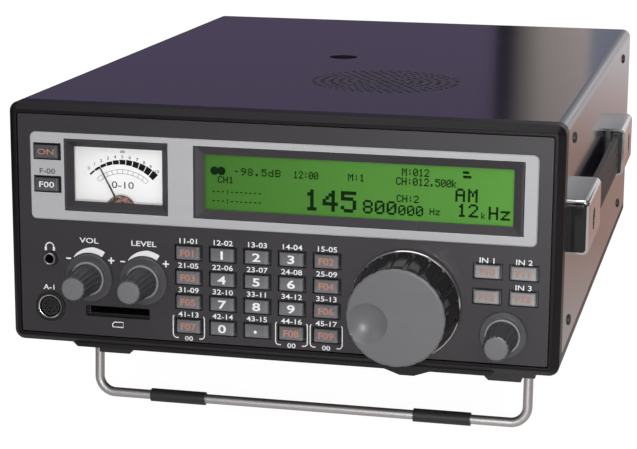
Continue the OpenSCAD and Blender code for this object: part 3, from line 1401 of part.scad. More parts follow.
// Bent wire: inward pins, legs, round corners and the bar between them
module tilt_bail() {
    r = wire_d / 2;
    bar_half = LEG_X - bail_bend_r;
    color([0.62, 0.6, 0.6]) on_bail() {
        for (s = [0, 1]) mirror([s, 0, 0]) {
            rod_x(0, 0, r, LEG_X - PIN_LEN, LEG_X);
            translate([LEG_X, 0, 0]) sphere(r);
            rod_z(LEG_X, 0, r, bail_bend_r - LEG_LEN, 0);
            translate([bar_half, 0, bail_bend_r - LEG_LEN]) rotate([90, 0, 0]) rotate([0, 0, -90])
                rotate_extrude(angle = 90) translate([bail_bend_r, 0]) circle(r);
        }
        rod_x(0, -LEG_LEN, r, -bar_half, bar_half);
    }
}

module bail_sleeves() {
    color([0.06, 0.06, 0.06]) on_bail() for (s = [-1, 1]) difference() {
        rod_x(0, -LEG_LEN, sleeve_d / 2, s * sleeve_x - sleeve_len / 2, s * sleeve_x + sleeve_len / 2);
        rod_x(0, -LEG_LEN, wire_d / 2 + shaft_fit, s * sleeve_x - sleeve_len, s * sleeve_x + sleeve_len);
    }
}

// Pan-head screw along +Z: the underside of its head at the origin, its shank below
module screw(len) {
    head_r = screw_head_d / 2;
    slot = 0.8;
    difference() {
        union() {
            rotate_extrude() polygon([[0, 0], [head_r, 0], [head_r, 0.5 * screw_head_h],
                                      [0.7 * head_r, screw_head_h], [0, screw_head_h]]);
            translate([0, 0, -len]) cylinder(d = screw_d, h = len + EPS);
        }
        for (a = [0, 90]) rotate(a) translate([-0.6 * head_r, -slot / 2, 0.45 * screw_head_h])
            cube([1.2 * head_r, slot, screw_head_h]);
    }
}

module screws() {
    side_len = sheet_t + chassis_t + SCREW_TAIL;
    color([0.2, 0.2, 0.21]) {
        for (s = [0, 1], p = SIDE_SCREWS) mirror([s, 0, 0])
            translate([HALF_W, p[0], p[1]]) rotate([0, 90, 0]) screw(side_len);
        for (y = HANDLE_SCREWS)
            translate([HALF_W + cap_out - CAP_RECESS, y, handle_z]) rotate([0, 90, 0])
                screw(side_len + cap_out - CAP_RECESS);
        translate([recess_x, recess_y, body_h - recess_h]) screw(sheet_t + POST_BITE);
        for (p = FOOT_SCREWS)
            translate([p[0], p[1], -FOOT_ROOF]) mirror([0, 0, 1]) screw(FOOT_ROOF + sheet_t + POST_BITE);
        for (p = REAR_SCREWS)
            translate([p[0], body_d, p[1]]) rotate([-90, 0, 0]) screw(rear_t + chassis_t + SCREW_TAIL);
    }
}

stance() {
    front_frame();
    front_panel();
    display_plate();
    meter_case();
    meter_scale();
    meter_needle();
    lcd_mask();
    lcd_panel();
    display_windows();
    for (k = PLATE_KEYS) plate_key(k);
    for (k = KEYPAD) keypad_key(k);
    for (k = SIDE_KEYS) side_key(k);
    main_dial();
    control_shaft(DIAL_CONTROL, DIAL_SHAFT_TIP);  // main_dial_shaft
    knob(SUB_CONTROL, sub_skirt_d);  // sub_dial
    control_shaft(SUB_CONTROL, KNOB_SHAFT_TIP);  // sub_dial_shaft
    knob(VOLUME_CONTROL, knob_skirt_d);  // volume_knob
    control_shaft(VOLUME_CONTROL, KNOB_SHAFT_TIP);  // volume_shaft
    knob(SQUELCH_CONTROL, knob_skirt_d);  // squelch_knob
    control_shaft(SQUELCH_CONTROL, KNOB_SHAFT_TIP);  // squelch_shaft
    control_bodies();
    circuit_boards();
    phones_jack();
    accessory_socket();
    card_socket();
    top_cover();
    bottom_cover();
    rear_panel();
    rear_connectors();
    chassis();
    speaker();
    handle_caps();
    handle_strap();
    feet();
    tilt_bail();
    bail_sleeves();
    screws();
}
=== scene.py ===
"""Looks of a desktop wideband radio receiver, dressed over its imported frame.

Places are in the case's own frame, in millimetres: X right from the middle, Y back from the front rim,
Z up from the underside. CASE carries them to the standing part, in metres.
"""

import json
import math

import bmesh
import bpy
from mathutils import Matrix, Vector


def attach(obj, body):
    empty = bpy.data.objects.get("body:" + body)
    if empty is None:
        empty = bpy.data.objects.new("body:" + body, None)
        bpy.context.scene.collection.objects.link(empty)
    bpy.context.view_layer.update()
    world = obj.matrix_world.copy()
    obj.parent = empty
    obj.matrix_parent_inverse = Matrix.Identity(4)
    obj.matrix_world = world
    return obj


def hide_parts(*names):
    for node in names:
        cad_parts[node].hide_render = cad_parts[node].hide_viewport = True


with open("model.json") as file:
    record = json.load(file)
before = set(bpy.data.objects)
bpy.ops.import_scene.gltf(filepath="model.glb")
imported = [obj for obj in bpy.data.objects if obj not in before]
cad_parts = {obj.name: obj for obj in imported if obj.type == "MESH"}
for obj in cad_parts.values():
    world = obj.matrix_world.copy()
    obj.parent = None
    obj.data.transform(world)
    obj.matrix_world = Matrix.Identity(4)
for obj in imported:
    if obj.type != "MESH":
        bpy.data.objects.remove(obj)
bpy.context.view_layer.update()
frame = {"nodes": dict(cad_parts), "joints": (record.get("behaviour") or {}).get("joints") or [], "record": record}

NODES = frame["nodes"]
RECORD = frame["record"]
JOINTS = {joint["name"]: joint for joint in frame["joints"]}
BODY_OF = {node: body for body, nodes in RECORD["behaviour"]["bodies"].items() for node in nodes}
SLOT_OF = {part["node"]: part["material_slot"] for part in RECORD["subparts"]}

MM = 0.001
# Thickness of a print, how far it stands off what it lies on, and the step between prints that cross
INK = 0.04
HAIR = 0.02
LAYER = 0.005
# Mesh corners nearer than this are one
WELD = 0.001


# Case frame

def case_placement():
    """Matrix from the case's frame to the standing part, by its front, its underside and a dial's axis."""
    back = Vector(JOINTS["main_dial_spin"]["axis"])
    tip = Matrix.Rotation(math.atan2(back.z, back.y), 4, "X")
    level = tip.inverted()
    corners = [level @ vertex.co for vertex in NODES["front_frame"].data.vertices]
    left = min(corner.x for corner in corners)
    right = max(corner.x for corner in corners)
    front = min(corner.y for corner in corners)
    under = min((level @ vertex.co).z for vertex in NODES["bottom_cover"].data.vertices)
    return tip @ Matrix.Translation(((left + right) / 2, front, under)) @ Matrix.Scale(MM, 4)


CASE = case_placement()
TO_CASE = CASE.inverted()


def case_box(node):
    """Lowest and highest corner of a node in the case's frame."""
    corners = [TO_CASE @ vertex.co for vertex in NODES[node].data.vertices]
    low = Vector([min(corner[i] for corner in corners) for i in range(3)])
    high = Vector([max(corner[i] for corner in corners) for i in range(3)])
    return low, high


def front_middle(node):
    """Middle of a node across the case's front, to the right and upwards."""
    low, high = case_box(node)
    return (low.x + high.x) / 2, (low.z + high.z) / 2


def axis_place(joint):
    """Where a joint's axis crosses the case's front, to the right and upwards."""
    spot = TO_CASE @ Vector(JOINTS[joint]["pos_m"])
    return spot.x, spot.z


PANEL_Y = case_box("front_panel")[0].y
PLATE_Y = case_box("display_plate")[0].y
COVER_TOP = case_box("top_cover")[1].z
PRINT_Y = PANEL_Y - HAIR


# Shader building

def tone(red, green, blue):
    """Linear colour of an sRGB colour written from 0 to 255."""
    shares = [value / 255 for value in (red, green, blue)]
    linear = [s / 12.92 if s <= 0.04045 else ((s + 0.055) / 1.055) ** 2.4 for s in shares]
    return (*linear, 1.0)


def place(tree, kind, inputs=None, **settings):
    """Adds a node: settings are its own properties, inputs its sockets as values or as sockets to link."""
    node = tree.nodes.new(kind)
    for name, value in settings.items():
        setattr(node, name, value)
    for name, value in (inputs or {}).items():
        if isinstance(value, bpy.types.NodeSocket):
            tree.links.new(value, node.inputs[name])
        else:
            node.inputs[name].default_value = value
    return node


def maths(tree, operation, *values):
    """Result of one sum on values or sockets."""
    return place(tree, "ShaderNodeMath", dict(enumerate(values)), operation=operation).outputs[0]


def carried(tree, value, start, end, low=0.0, high=1.0):
    """A value from start to end carried to low and high, and held there beyond."""
    return place(tree, "ShaderNodeMapRange", {"Value": value, "From Min": start, "From Max": end,
                                              "To Min": low, "To Max": high}).outputs[0]


def span(tree, value, low, high):
    """A value from 0 to 1 carried to low and high."""
    return carried(tree, value, 0.0, 1.0, low, high)


def noise(tree, coords, scale, detail):
    """Soft noise over a surface, from 0 to 1."""
    inputs = {"Vector": coords, "Scale": scale, "Detail": detail}
    return place(tree, "ShaderNodeTexNoise", inputs).outputs["Fac"]


def mixed(tree, share, first, second, kind="MIX"):
    """Two colours, plain or from sockets, joined by a share. A mix node takes colours at sockets 6 and 7."""
    inputs = {"Factor": share, 6: first, 7: second}
    return place(tree, "ShaderNodeMix", inputs, data_type="RGBA", blend_type=kind).outputs[2]


def tinted(tree, colour, *tints):
    """A colour, plain or from a socket, times each tint."""
    for tint in tints:
        colour = mixed(tree, 1.0, colour, tint, "MULTIPLY")
    return colour


def banded(tree, value, stops):
    """Colours by a value: each stop has a place and a colour, and the colour changes evenly between them."""
    first, last = stops[0][0], stops[-1][0]
    ramp = place(tree, "ShaderNodeValToRGB", {"Fac": carried(tree, value, first, last)})
    steps = ramp.color_ramp.elements
    steps[0].color, steps[1].color = stops[0][1], stops[-1][1]
    for position, colour in stops[1:-1]:
        steps.new((position - first) / (last - first)).color = colour
    return ramp.outputs["Color"]


def axes(tree, coords):
    """The X, Y and Z of coordinates."""
    return place(tree, "ShaderNodeSeparateXYZ", {0: coords}).outputs


def own_box(tree):
    """Place in a piece's own box, each axis from 0 to 1."""
    return axes(tree, place(tree, "ShaderNodeTexCoord").outputs["Generated"])


# Effects that several finishes share

def effect(name, inputs, outputs):
    """An empty node group with named sockets, and its input and output nodes."""
    tree = bpy.data.node_groups.new(name, "ShaderNodeTree")
    for label, kind, value in inputs:
        socket = tree.interface.new_socket(label, in_out="INPUT", socket_type=kind)
        if value is not None:
            socket.default_value = value
    for label, kind in outputs:
        tree.interface.new_socket(label, in_out="OUTPUT", socket_type=kind)
    return tree, place(tree, "NodeGroupInput").outputs, place(tree, "NodeGroupOutput").inputs


def moulded_grain_effect():
    """Fine spark-eroded grain of a moulding, or the skin of sprayed paint."""
    tree, given, result = effect(
        "moulded_grain",
        [("Vector", "NodeSocketVector", None), ("Scale", "NodeSocketFloat", 2500.0),
         ("Contrast", "NodeSocketFloat", 0.1)],
        [("Height", "NodeSocketFloat"), ("Tint", "NodeSocketFloat")])
    fine = noise(tree, given["Vector"], given["Scale"], 3.0)
    pits = place(tree, "ShaderNodeTexVoronoi", {"Vector": given["Vector"], "Scale": given["Scale"]},
                 feature="SMOOTH_F1")
    height = maths(tree, "MULTIPLY_ADD", fine, 0.6, pits.outputs["Distance"])
    shift = maths(tree, "SUBTRACT", fine, 0.5)
    tree.links.new(height, result["Height"])
    tree.links.new(maths(tree, "MULTIPLY_ADD", shift, given["Contrast"], 1.0), result["Tint"])
    return tree


def handling_marks_effect():
    """Soft patches and faint rubs left by hands and cloths."""
    tree, given, result = effect(
        "handling_marks",
        [("Vector", "NodeSocketVector", None), ("Amount", "NodeSocketFloat", 0.1)],
        [("Tint", "NodeSocketFloat"), ("Shine", "NodeSocketFloat")])
    patches = noise(tree, given["Vector"], 28.0, 5.0)
    wiped = place(tree, "ShaderNodeMapping", {"Vector": given["Vector"], "Scale": (30.0, 260.0, 700.0)})
    rubs = noise(tree, wiped.outputs[0], 1.0, 6.0)
    shift = maths(tree, "SUBTRACT", maths(tree, "ADD", patches, rubs), 1.0)
    shine = maths(tree, "MULTIPLY", shift, given["Amount"])
    tree.links.new(maths(tree, "ADD", shine, 1.0), result["Tint"])
    tree.links.new(shine, result["Shine"])
    return tree


def rubbed_edge_effect():
    """Mask of the corners that are painted paler, partly as wear and partly as painted highlight."""
    tree, given, result = effect(
        "edge_wear_and_highlight",
        [("Vector", "NodeSocketVector", None), ("Radius", "NodeSocketFloat", 0.0004),
         ("Amount", "NodeSocketFloat", 0.3)],
        [("Edge", "NodeSocketFloat")])
    round_normal = place(tree, "ShaderNodeBevel", {"Radius": given["Radius"]}, samples=4)
    true_normal = place(tree, "ShaderNodeNewGeometry")
    agree = place(tree, "ShaderNodeVectorMath",
                  {0: round_normal.outputs[0], 1: true_normal.outputs["Normal"]}, operation="DOT_PRODUCT")
    bend = maths(tree, "SUBTRACT", 1.0, agree.outputs["Value"])
    broken = noise(tree, given["Vector"], 300.0, 4.0)
    gain = maths(tree, "MULTIPLY", given["Amount"], 6.0)
    edge = maths(tree, "MULTIPLY", maths(tree, "MULTIPLY", bend, gain), broken)
    tree.links.new(place(tree, "ShaderNodeClamp", {"Value": edge}).outputs[0], result["Edge"])
    return tree


def drawn_metal_effect():
    """Fine lines of drawn or turned metal along one direction."""
    tree, given, result = effect(
        "drawn_metal",
        [("Vector", "NodeSocketVector", None), ("Stretch", "NodeSocketVector", (40.0, 4000.0, 4000.0))],
        [("Height", "NodeSocketFloat"), ("Tint", "NodeSocketFloat")])
    drawn = place(tree, "ShaderNodeVectorMath", {0: given["Vector"], 1: given["Stretch"]},
                  operation="MULTIPLY")
    lines = noise(tree, drawn.outputs[0], 1.0, 4.0)
    tree.links.new(lines, result["Height"])
    tree.links.new(span(tree, lines, 0.86, 1.1), result["Tint"])
    return tree


GRAIN = moulded_grain_effect()
MARKS = handling_marks_effect()
EDGE_WEAR_AND_HIGHLIGHT = rubbed_edge_effect()
DRAWN = drawn_metal_effect()


def use(tree, group, **inputs):
    """Places an effect in a material and gives its outputs."""
    return place(tree, "ShaderNodeGroup", inputs, node_tree=group).outputs


# Finishes

def blank_material(name):
    """A new material's tree, its surface shader and its object coordinates."""
    material = bpy.data.materials.new(name)
    material.use_nodes = True
    tree = material.node_tree
    surface = tree.nodes["Principled BSDF"]
    coords = place(tree, "ShaderNodeTexCoord").outputs["Object"]
    return material, tree, surface, coords


def raise_surface(tree, surface, height, depth, strength=0.5):
    """Bump of a given depth in millimetres."""
    bump = place(tree, "ShaderNodeBump", {"Height": height, "Distance": depth * MM, "Strength": strength})
    tree.links.new(bump.outputs[0], surface.inputs["Normal"])


def moulded(name, colour, roughness, grain=2500.0, depth=0.05, marks=0.1, wear_and_highlight=0.2, contrast=0.12,
            pale=(0.45, 0.45, 0.46, 1.0), specular=0.5, metallic=0.0):
    """Moulded plastic or sprayed paint: fine grain, handling marks and paler corners, partly wear and partly
    painted highlight.
    """
    material, tree, surface, coords = blank_material(name)
    skin = use(tree, GRAIN, Vector=coords, Scale=grain, Contrast=contrast)
    hands = use(tree, MARKS, Vector=coords, Amount=marks)
    body = tinted(tree, colour, skin["Tint"], hands["Tint"])
    if wear_and_highlight:
        # Corners go paler: wear, and a painted highlight where edges catch the light
        edge = use(tree, EDGE_WEAR_AND_HIGHLIGHT, Vector=coords, Amount=wear_and_highlight)["Edge"]
        body = mixed(tree, edge, body, pale)
    tree.links.new(body, surface.inputs["Base Color"])
    tree.links.new(maths(tree, "ADD", hands["Shine"], roughness), surface.inputs["Roughness"])
    surface.inputs["Metallic"].default_value = metallic
    surface.inputs["Specular IOR Level"].default_value = specular
    raise_surface(tree, surface, skin["Height"], depth)
    return material


# Shades of a key from its foot to its head, and the painted highlight strip near its right end
KEY_FOOT_AT, KEY_FOOT_TINT = 0.2, 1.14
KEY_HEAD_AT, KEY_HEAD_TINT = 0.85, 0.8
HIGHLIGHT_STRIP_AT, HIGHLIGHT_STRIP_EDGE, HIGHLIGHT_STRIP_TINT = 0.76, 0.03, 1.16


def moulded_key(name, colour, pale):
    """Key plastic: a shade darker above, a painted highlight strip near its right end, and paler edges, partly
    wear and partly painted highlight.
    """
    material, tree, surface, coords = blank_material(name)
    box = own_box(tree)
    skin = use(tree, GRAIN, Vector=coords, Contrast=0.12)
    hands = use(tree, MARKS, Vector=coords, Amount=0.16)
    fall = carried(tree, box["Z"], KEY_FOOT_AT, KEY_HEAD_AT, KEY_FOOT_TINT, KEY_HEAD_TINT)
    painted_highlight = carried(tree, box["X"], HIGHLIGHT_STRIP_AT, HIGHLIGHT_STRIP_AT + HIGHLIGHT_STRIP_EDGE, 1.0, HIGHLIGHT_STRIP_TINT)
    body = tinted(tree, colour, skin["Tint"], hands["Tint"], fall, painted_highlight)
    # Paler edges, partly wear and partly painted highlight
    edge = use(tree, EDGE_WEAR_AND_HIGHLIGHT, Vector=coords, Amount=0.4)["Edge"]
    tree.links.new(mixed(tree, edge, body, pale), surface.inputs["Base Color"])
    tree.links.new(maths(tree, "ADD", hands["Shine"], 0.42), surface.inputs["Roughness"])
    raise_surface(tree, surface, skin["Height"], 0.02)
    return material


def bright_metal(name, colour, roughness, stretch=(40.0, 4000.0, 4000.0), depth=0.006, marks=0.12):
    """Plated, polished or drawn metal with fine lines and smudges."""
    material, tree, surface, coords = blank_material(name)
    lines = use(tree, DRAWN, Vector=coords, Stretch=stretch)
    hands = use(tree, MARKS, Vector=coords, Amount=marks)
    tree.links.new(tinted(tree, colour, lines["Tint"], hands["Tint"]), surface.inputs["Base Color"])
    tree.links.new(maths(tree, "ADD", hands["Shine"], roughness), surface.inputs["Roughness"])
    surface.inputs["Metallic"].default_value = 1.0
    raise_surface(tree, surface, lines["Height"], depth, 0.3)
    return material


def lit_face(name, colour, glow, strength, specks=0.0, left=1.0, right=1.0):
    """A face lit from behind: a colour and a glow that may grow from left to right, with fine specks."""
    material, tree, surface, coords = blank_material(name)
    patches = noise(tree, coords, 22.0, 3.0)
    uneven = span(tree, patches, 0.88, 1.12)
    across = span(tree, own_box(tree)["X"], left, right)
    fine = use(tree, GRAIN, Vector=coords, Scale=2600.0, Contrast=specks)["Tint"]
    tree.links.new(tinted(tree, colour, uneven, across, fine), surface.inputs["Base Color"])
    tree.links.new(tinted(tree, glow, uneven, across, fine), surface.inputs["Emission Color"])
    surface.inputs["Emission Strength"].default_value = strength
    surface.inputs["Specular IOR Level"].default_value = 0.1
    tree.links.new(span(tree, patches, 0.4, 0.55), surface.inputs["Roughness"])
    return material


def printed(name, colour, specular=0.5):
    """Screen-printed ink, a little uneven."""
    material, tree, surface, coords = blank_material(name)
    skin = use(tree, GRAIN, Vector=coords, Scale=1800.0, Contrast=0.16)
    tree.links.new(tinted(tree, colour, skin["Tint"]), surface.inputs["Base Color"])
    tree.links.new(span(tree, skin["Height"], 0.47, 0.63), surface.inputs["Roughness"])
    surface.inputs["Specular IOR Level"].default_value = specular
    return material


def clear_pane(name, colour, alpha):
    """Thin clear plastic with faint smears."""
    material, tree, surface, coords = blank_material(name)
    hands = use(tree, MARKS, Vector=coords, Amount=0.08)
    tree.links.new(tinted(tree, colour, hands["Tint"]), surface.inputs["Base Color"])
    tree.links.new(maths(tree, "ADD", hands["Shine"], 0.08), surface.inputs["Roughness"])
    surface.inputs["Alpha"].default_value = alpha
    return material


def lacquered_coil(name, dark, bright):
    """Lacquered copper of the meter's movement, in streaks."""
    material, tree, surface, coords = blank_material(name)
    streaks = noise(tree, coords, 900.0, 6.0)
    tree.links.new(banded(tree, streaks, [(0.38, dark), (0.62, bright)]), surface.inputs["Base Color"])
    tree.links.new(span(tree, streaks, 0.3, 0.6), surface.inputs["Roughness"])
    raise_surface(tree, surface, streaks, 0.2)
    return material


FRAME_BLACK = moulded("frame_black", tone(27, 24, 26), 0.36, depth=0.01, wear_and_highlight=0.06, specular=0.14)
LIP_BLACK = moulded("lip_black", tone(24, 23, 25), 0.5, depth=0.02, wear_and_highlight=0.05, specular=0.3)
PANEL_GREY = moulded("panel_grey", tone(54, 51, 54), 0.42, depth=0.03, wear_and_highlight=0.06, specular=0.34)
# Its corners are painted near white, as wear and as a painted highlight along its edges
PLATE_SILVER = moulded("plate_silver", tone(178, 178, 179), 0.42, grain=4000.0, depth=0.012, wear_and_highlight=0.7,
                       contrast=0.08, pale=tone(246, 246, 246))
BEZEL_BLACK = moulded("bezel_black", tone(58, 55, 59), 0.5, depth=0.03, wear_and_highlight=0.06, specular=0.3)
# Each key's second colour is its paler edges, partly wear and partly painted highlight
KEY_GREY = moulded_key("key_grey", tone(106, 106, 109), tone(205, 205, 208))
KEY_PALE = moulded_key("key_pale", tone(150, 149, 150), tone(225, 225, 228))
KEY_DARK = moulded_key("key_dark", tone(78, 78, 81), tone(150, 150, 155))
# Black of the painted shadow round the keys
KEY_SHADOW_BLACK = moulded("painted_key_shadow", tone(22, 21, 23), 0.6, depth=0.02, wear_and_highlight=0.0, specular=0.2)
KNOB_GREY = moulded("knob_grey", tone(104, 104, 107), 0.36, depth=0.02, wear_and_highlight=0.0)
KNOB_FACE = moulded("knob_face", tone(110, 110, 113), 0.5, depth=0.03, wear_and_highlight=0.0, specular=0.3)
KNOB_DARK = moulded("knob_dark", tone(60, 59, 61), 0.32, depth=0.01, wear_and_highlight=0.1)
SKIRT_GREY = moulded("skirt_grey", tone(68, 67, 70), 0.34, depth=0.02, wear_and_highlight=0.3)
# Paler top of each knob's ring, a painted highlight
KNOB_RING_HIGHLIGHT = moulded("knob_ring_painted_highlight", tone(138, 136, 138), 0.34, depth=0.02, wear_and_highlight=0.3)
DIAL_GLOSS = moulded("dial_gloss", tone(22, 21, 23), 0.16, depth=0.004, wear_and_highlight=0.3, marks=0.15, specular=0.6)
DIAL_RING = bright_metal("dial_ring", (0.62, 0.59, 0.57, 1.0), 0.16)
SHAFT_STEEL = bright_metal("shaft_steel", (0.55, 0.55, 0.56, 1.0), 0.3)
BOARD_GREEN = moulded("board_green", (0.02, 0.12, 0.05, 1.0), 0.35, grain=500.0, wear_and_highlight=0.0)
SOCKET_BLACK = moulded("socket_black", tone(24, 23, 24), 0.35, depth=0.02)
SOCKET_NICKEL = bright_metal("socket_nickel", (0.76, 0.74, 0.71, 1.0), 0.28)
# Its corners and hole rims are painted pale, as wear and as painted highlight and glints along bends and holes
COVER_VIOLET = moulded("cover_violet_grey", tone(52, 47, 61), 0.09, grain=1500.0, depth=0.001, marks=0.02,
                       wear_and_highlight=0.35, contrast=0.3, pale=tone(150, 142, 160))
COVER_BLACK = moulded("cover_black", tone(44, 43, 46), 0.42, grain=1500.0, depth=0.03, wear_and_highlight=0.15)
CHASSIS_METAL = bright_metal("chassis_metal", (0.6, 0.61, 0.62, 1.0), 0.4)
# Also the black of painted shade in the cover's holes, its recess and round the grille's holes
SPEAKER_BLACK_AND_PAINTED_SHADE = moulded("speaker_black", tone(22, 21, 23), 0.7, wear_and_highlight=0.1, specular=0.1)
HANDLE_CHROME = bright_metal("handle_chrome", (0.7, 0.69, 0.69, 1.0), 0.14, depth=0.002, marks=0.1)
# Darker chrome for the caps' upward faces, a painted dim reflection
CAP_TOP_DIM_REFLECTION = bright_metal("cap_top_painted_dim_reflection", (0.3, 0.295, 0.295, 1.0), 0.2, depth=0.002)
# Black for the caps' chrome front end, a painted dark reflection
CAP_END_DARK_REFLECTION = moulded("cap_end_painted_dark_reflection", tone(6, 6, 6), 0.1, depth=0.004, wear_and_highlight=0.1, specular=0.6)
STRAP_RUBBER = moulded("strap_rubber", tone(44, 43, 44), 0.5, grain=1200.0, depth=0.06, wear_and_highlight=0.1)
FOOT_BLACK = moulded("foot_black", tone(36, 35, 37), 0.5, depth=0.04, wear_and_highlight=0.15)
BAIL_WIRE = bright_metal("bail_wire", (0.55, 0.54, 0.54, 1.0), 0.5, stretch=(60.0, 2500.0, 2500.0),
                         depth=0.01)
SLEEVE_RUBBER = moulded("sleeve_rubber", tone(46, 46, 48), 0.5, grain=1500.0, depth=0.06, wear_and_highlight=0.0)
SCREW_BLACK = moulded("screw_black", tone(60, 60, 62), 0.4, wear_and_highlight=0.12, metallic=0.5)
NEEDLE_BLACK = moulded("needle_black", tone(28, 28, 30), 0.5, wear_and_highlight=0.0)
SCALE_WHITE = lit_face("scale_white", tone(236, 236, 235), tone(240, 240, 238), 0.3)
DISPLAY_GREEN = lit_face("display_green", tone(73, 125, 48), tone(77, 135, 50), 0.1, specks=0.3,
                         left=0.8, right=1.55)
CLEAR_WINDOW = clear_pane("clear_window", (0.02, 0.02, 0.02, 1.0), 0.03)
LEGEND_WHITE = printed("legend_white", tone(236, 236, 236))
LEGEND_ORANGE = printed("legend_orange", tone(172, 124, 106))
LEGEND_DARK = printed("legend_dark", tone(70, 70, 74))
SCALE_BLACK = printed("scale_black", tone(20, 20, 22), specular=0.1)
SCALE_GREY = printed("scale_grey", tone(104, 104, 106), specular=0.1)
DISPLAY_INK = printed("display_ink", tone(10, 38, 10), specular=0.05)
COPPER_COIL = lacquered_coil("copper_coil", tone(26, 21, 21), tone(176, 142, 126))

NODE_FINISH = {
    "meter_scale": SCALE_WHITE,
    "meter_needle": NEEDLE_BLACK,
    "lcd_panel": DISPLAY_GREEN,
    "main_dial_shaft": SHAFT_STEEL,
    "sub_dial_shaft": SHAFT_STEEL,
    "volume_shaft": SHAFT_STEEL,
    "squelch_shaft": SHAFT_STEEL,
    "control_bodies": SHAFT_STEEL,
    "circuit_boards": BOARD_GREEN,
    "phones_jack": SOCKET_BLACK,
    "accessory_socket": SOCKET_BLACK,
    "bottom_cover": COVER_BLACK,
    "rear_panel": COVER_BLACK,
    "rear_connectors": SOCKET_NICKEL,
    "chassis": CHASSIS_METAL,
    "speaker": SPEAKER_BLACK_AND_PAINTED_SHADE,
    "tilt_bail": BAIL_WIRE,
    "bail_sleeves": SLEEVE_RUBBER,
    "screws": SCREW_BLACK,
}


def paint(thing, *materials):
    """Gives a thing its finishes. A new thing isn't cleared, which would forget the finish of each face."""
    if thing.data.materials:
        thing.data.materials.clear()
    for material in materials:
        thing.data.materials.append(material)


# Pieces

def add_piece(name, bm, body, slot, *materials, sharp=35):
    """A new piece from a mesh drawn in the case's frame, riding on a body."""
    bmesh.ops.recalc_face_normals(bm, faces=bm.faces)
    mesh = bpy.data.meshes.new(name)
    bm.to_mesh(mesh)
    bm.free()
    mesh.transform(CASE)
    mesh.shade_smooth()
    mesh.set_sharp_from_angle(angle=math.radians(sharp))
    thing = bpy.data.objects.new(name, mesh)
    bpy.context.scene.collection.objects.link(thing)
    paint(thing, *materials)
    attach(thing, body)
    return thing


# A bend of a solid sharper than this, in degrees, is a corner
CORNER_BEND = 25


def round_corners(thing, radius, segments):
    """Joins the flat faces of a solid and rounds the corners between them."""
    thing.modifiers.new("weld", "WELD").merge_threshold = WELD * MM
    flat = thing.modifiers.new("flat", "DECIMATE")
    flat.decimate_type = "DISSOLVE"
    flat.angle_limit = math.radians(1)
    rounding = thing.modifiers.new("rounded", "BEVEL")
    rounding.width = radius * MM
    rounding.segments = segments
    rounding.limit_method = "ANGLE"
    rounding.angle_limit = math.radians(CORNER_BEND)
    thing.modifiers.new("even", "WEIGHTED_NORMAL")


def softened(node, radius, *materials, segments=2, chosen=None):
    """A piece in a node's place: the same solid with its hard corners rounded. Faces that are chosen by
    their middle and direction, in the case's frame, take the second finish."""
    mesh = NODES[node].data.copy()
    thing = bpy.data.objects.new(node + "_soft", mesh)
    bpy.context.scene.collection.objects.link(thing)
    mesh.shade_smooth()
    if radius:
        round_corners(thing, radius, segments)
    else:
        mesh.set_sharp_from_angle(angle=math.radians(CORNER_BEND))
    paint(thing, *materials)
    if chosen:
        level = TO_CASE.to_3x3().normalized()
        for face in mesh.polygons:
            face.material_index = int(chosen(TO_CASE @ face.center, level @ face.normal))
    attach(thing, BODY_OF[node])
    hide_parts(node)


# Prints and turned forms

def ink(bm, outline, y):
    """A thin closed print of an outline in width and height, its face at depth y."""
    front = [bm.verts.new((x, y, z)) for x, z in outline]
    back = [bm.verts.new((x, y + INK, z)) for x, z in outline]
    count = len(outline)
    bm.faces.new(front)
    bm.faces.new(back[::-1])
    for i in range(count):
        following = (i + 1) % count
        bm.faces.new((front[following], front[i], back[i], back[following]))


def around(cx, cz, radius, degrees):
    """A point round a centre, by its angle from the right."""
    angle = math.radians(degrees)
    return cx + radius * math.cos(angle), cz + radius * math.sin(angle)


def arc(cx, cz, radius, start, end, steps):
    """Points along an arc, by angles in degrees from the right."""
    return [around(cx, cz, radius, start + (end - start) * i / steps) for i in range(steps + 1)]


def disc(bm, cx, cz, radius, y):
    """A round print."""
    ink(bm, arc(cx, cz, radius, 0, 360, 20)[:-1], y)


def bar(bm, x, z, width, height, y):
    """A print of a plain oblong, by its middle."""
    x0, x1, z0, z1 = x - width / 2, x + width / 2, z - height / 2, z + height / 2
    ink(bm, [(x0, z0), (x1, z0), (x1, z1), (x0, z1)], y)


def stroke(bm, points, width, y):
    """A print of a line of even width along points."""
    left, right = [], []
    for i, (x, z) in enumerate(points):
        ahead = points[min(i + 1, len(points) - 1)]
        behind = points[max(i - 1, 0)]
        along = Vector((ahead[0] - behind[0], ahead[1] - behind[1])).normalized()
        left.append((x - along.y * width / 2, z + along.x * width / 2))
        right.append((x + along.y * width / 2, z - along.x * width / 2))
    ink(bm, left + right[::-1], y)


def lettering(text, weight):
    """Mesh of plain characters at size one and thickness one, centred and thickened by a weight."""
    curve = bpy.data.curves.new("letters", "FONT")
    curve.body = text
    curve.align_x = "CENTER"
    curve.resolution_u = 3
    curve.extrude = 0.5
    curve.offset = weight
    drawn = bpy.data.objects.new("letters", curve)
    bpy.context.scene.collection.objects.link(drawn)
    mesh = bpy.data.meshes.new_from_object(drawn)
    bpy.data.objects.remove(drawn)
    bpy.data.curves.remove(curve)
    return mesh


# Height of a capital in the plain font at size one
CAPITAL = max(vertex.co.y for vertex in lettering("H", 0.0).vertices)


def letters(bm, text, x, z, height, y, stretch, weight=0.012):
    """Prints plain characters, their capitals of a given height, centred at a place."""
    mesh = lettering(text, weight)
    size = height / CAPITAL
    mesh.transform(Matrix(((stretch * size, 0, 0, x), (0, 0, -INK, y + INK / 2),
                           (0, size, 0, z - height / 2), (0, 0, 0, 1))))
    bm.from_mesh(mesh)
    bpy.data.meshes.remove(mesh)


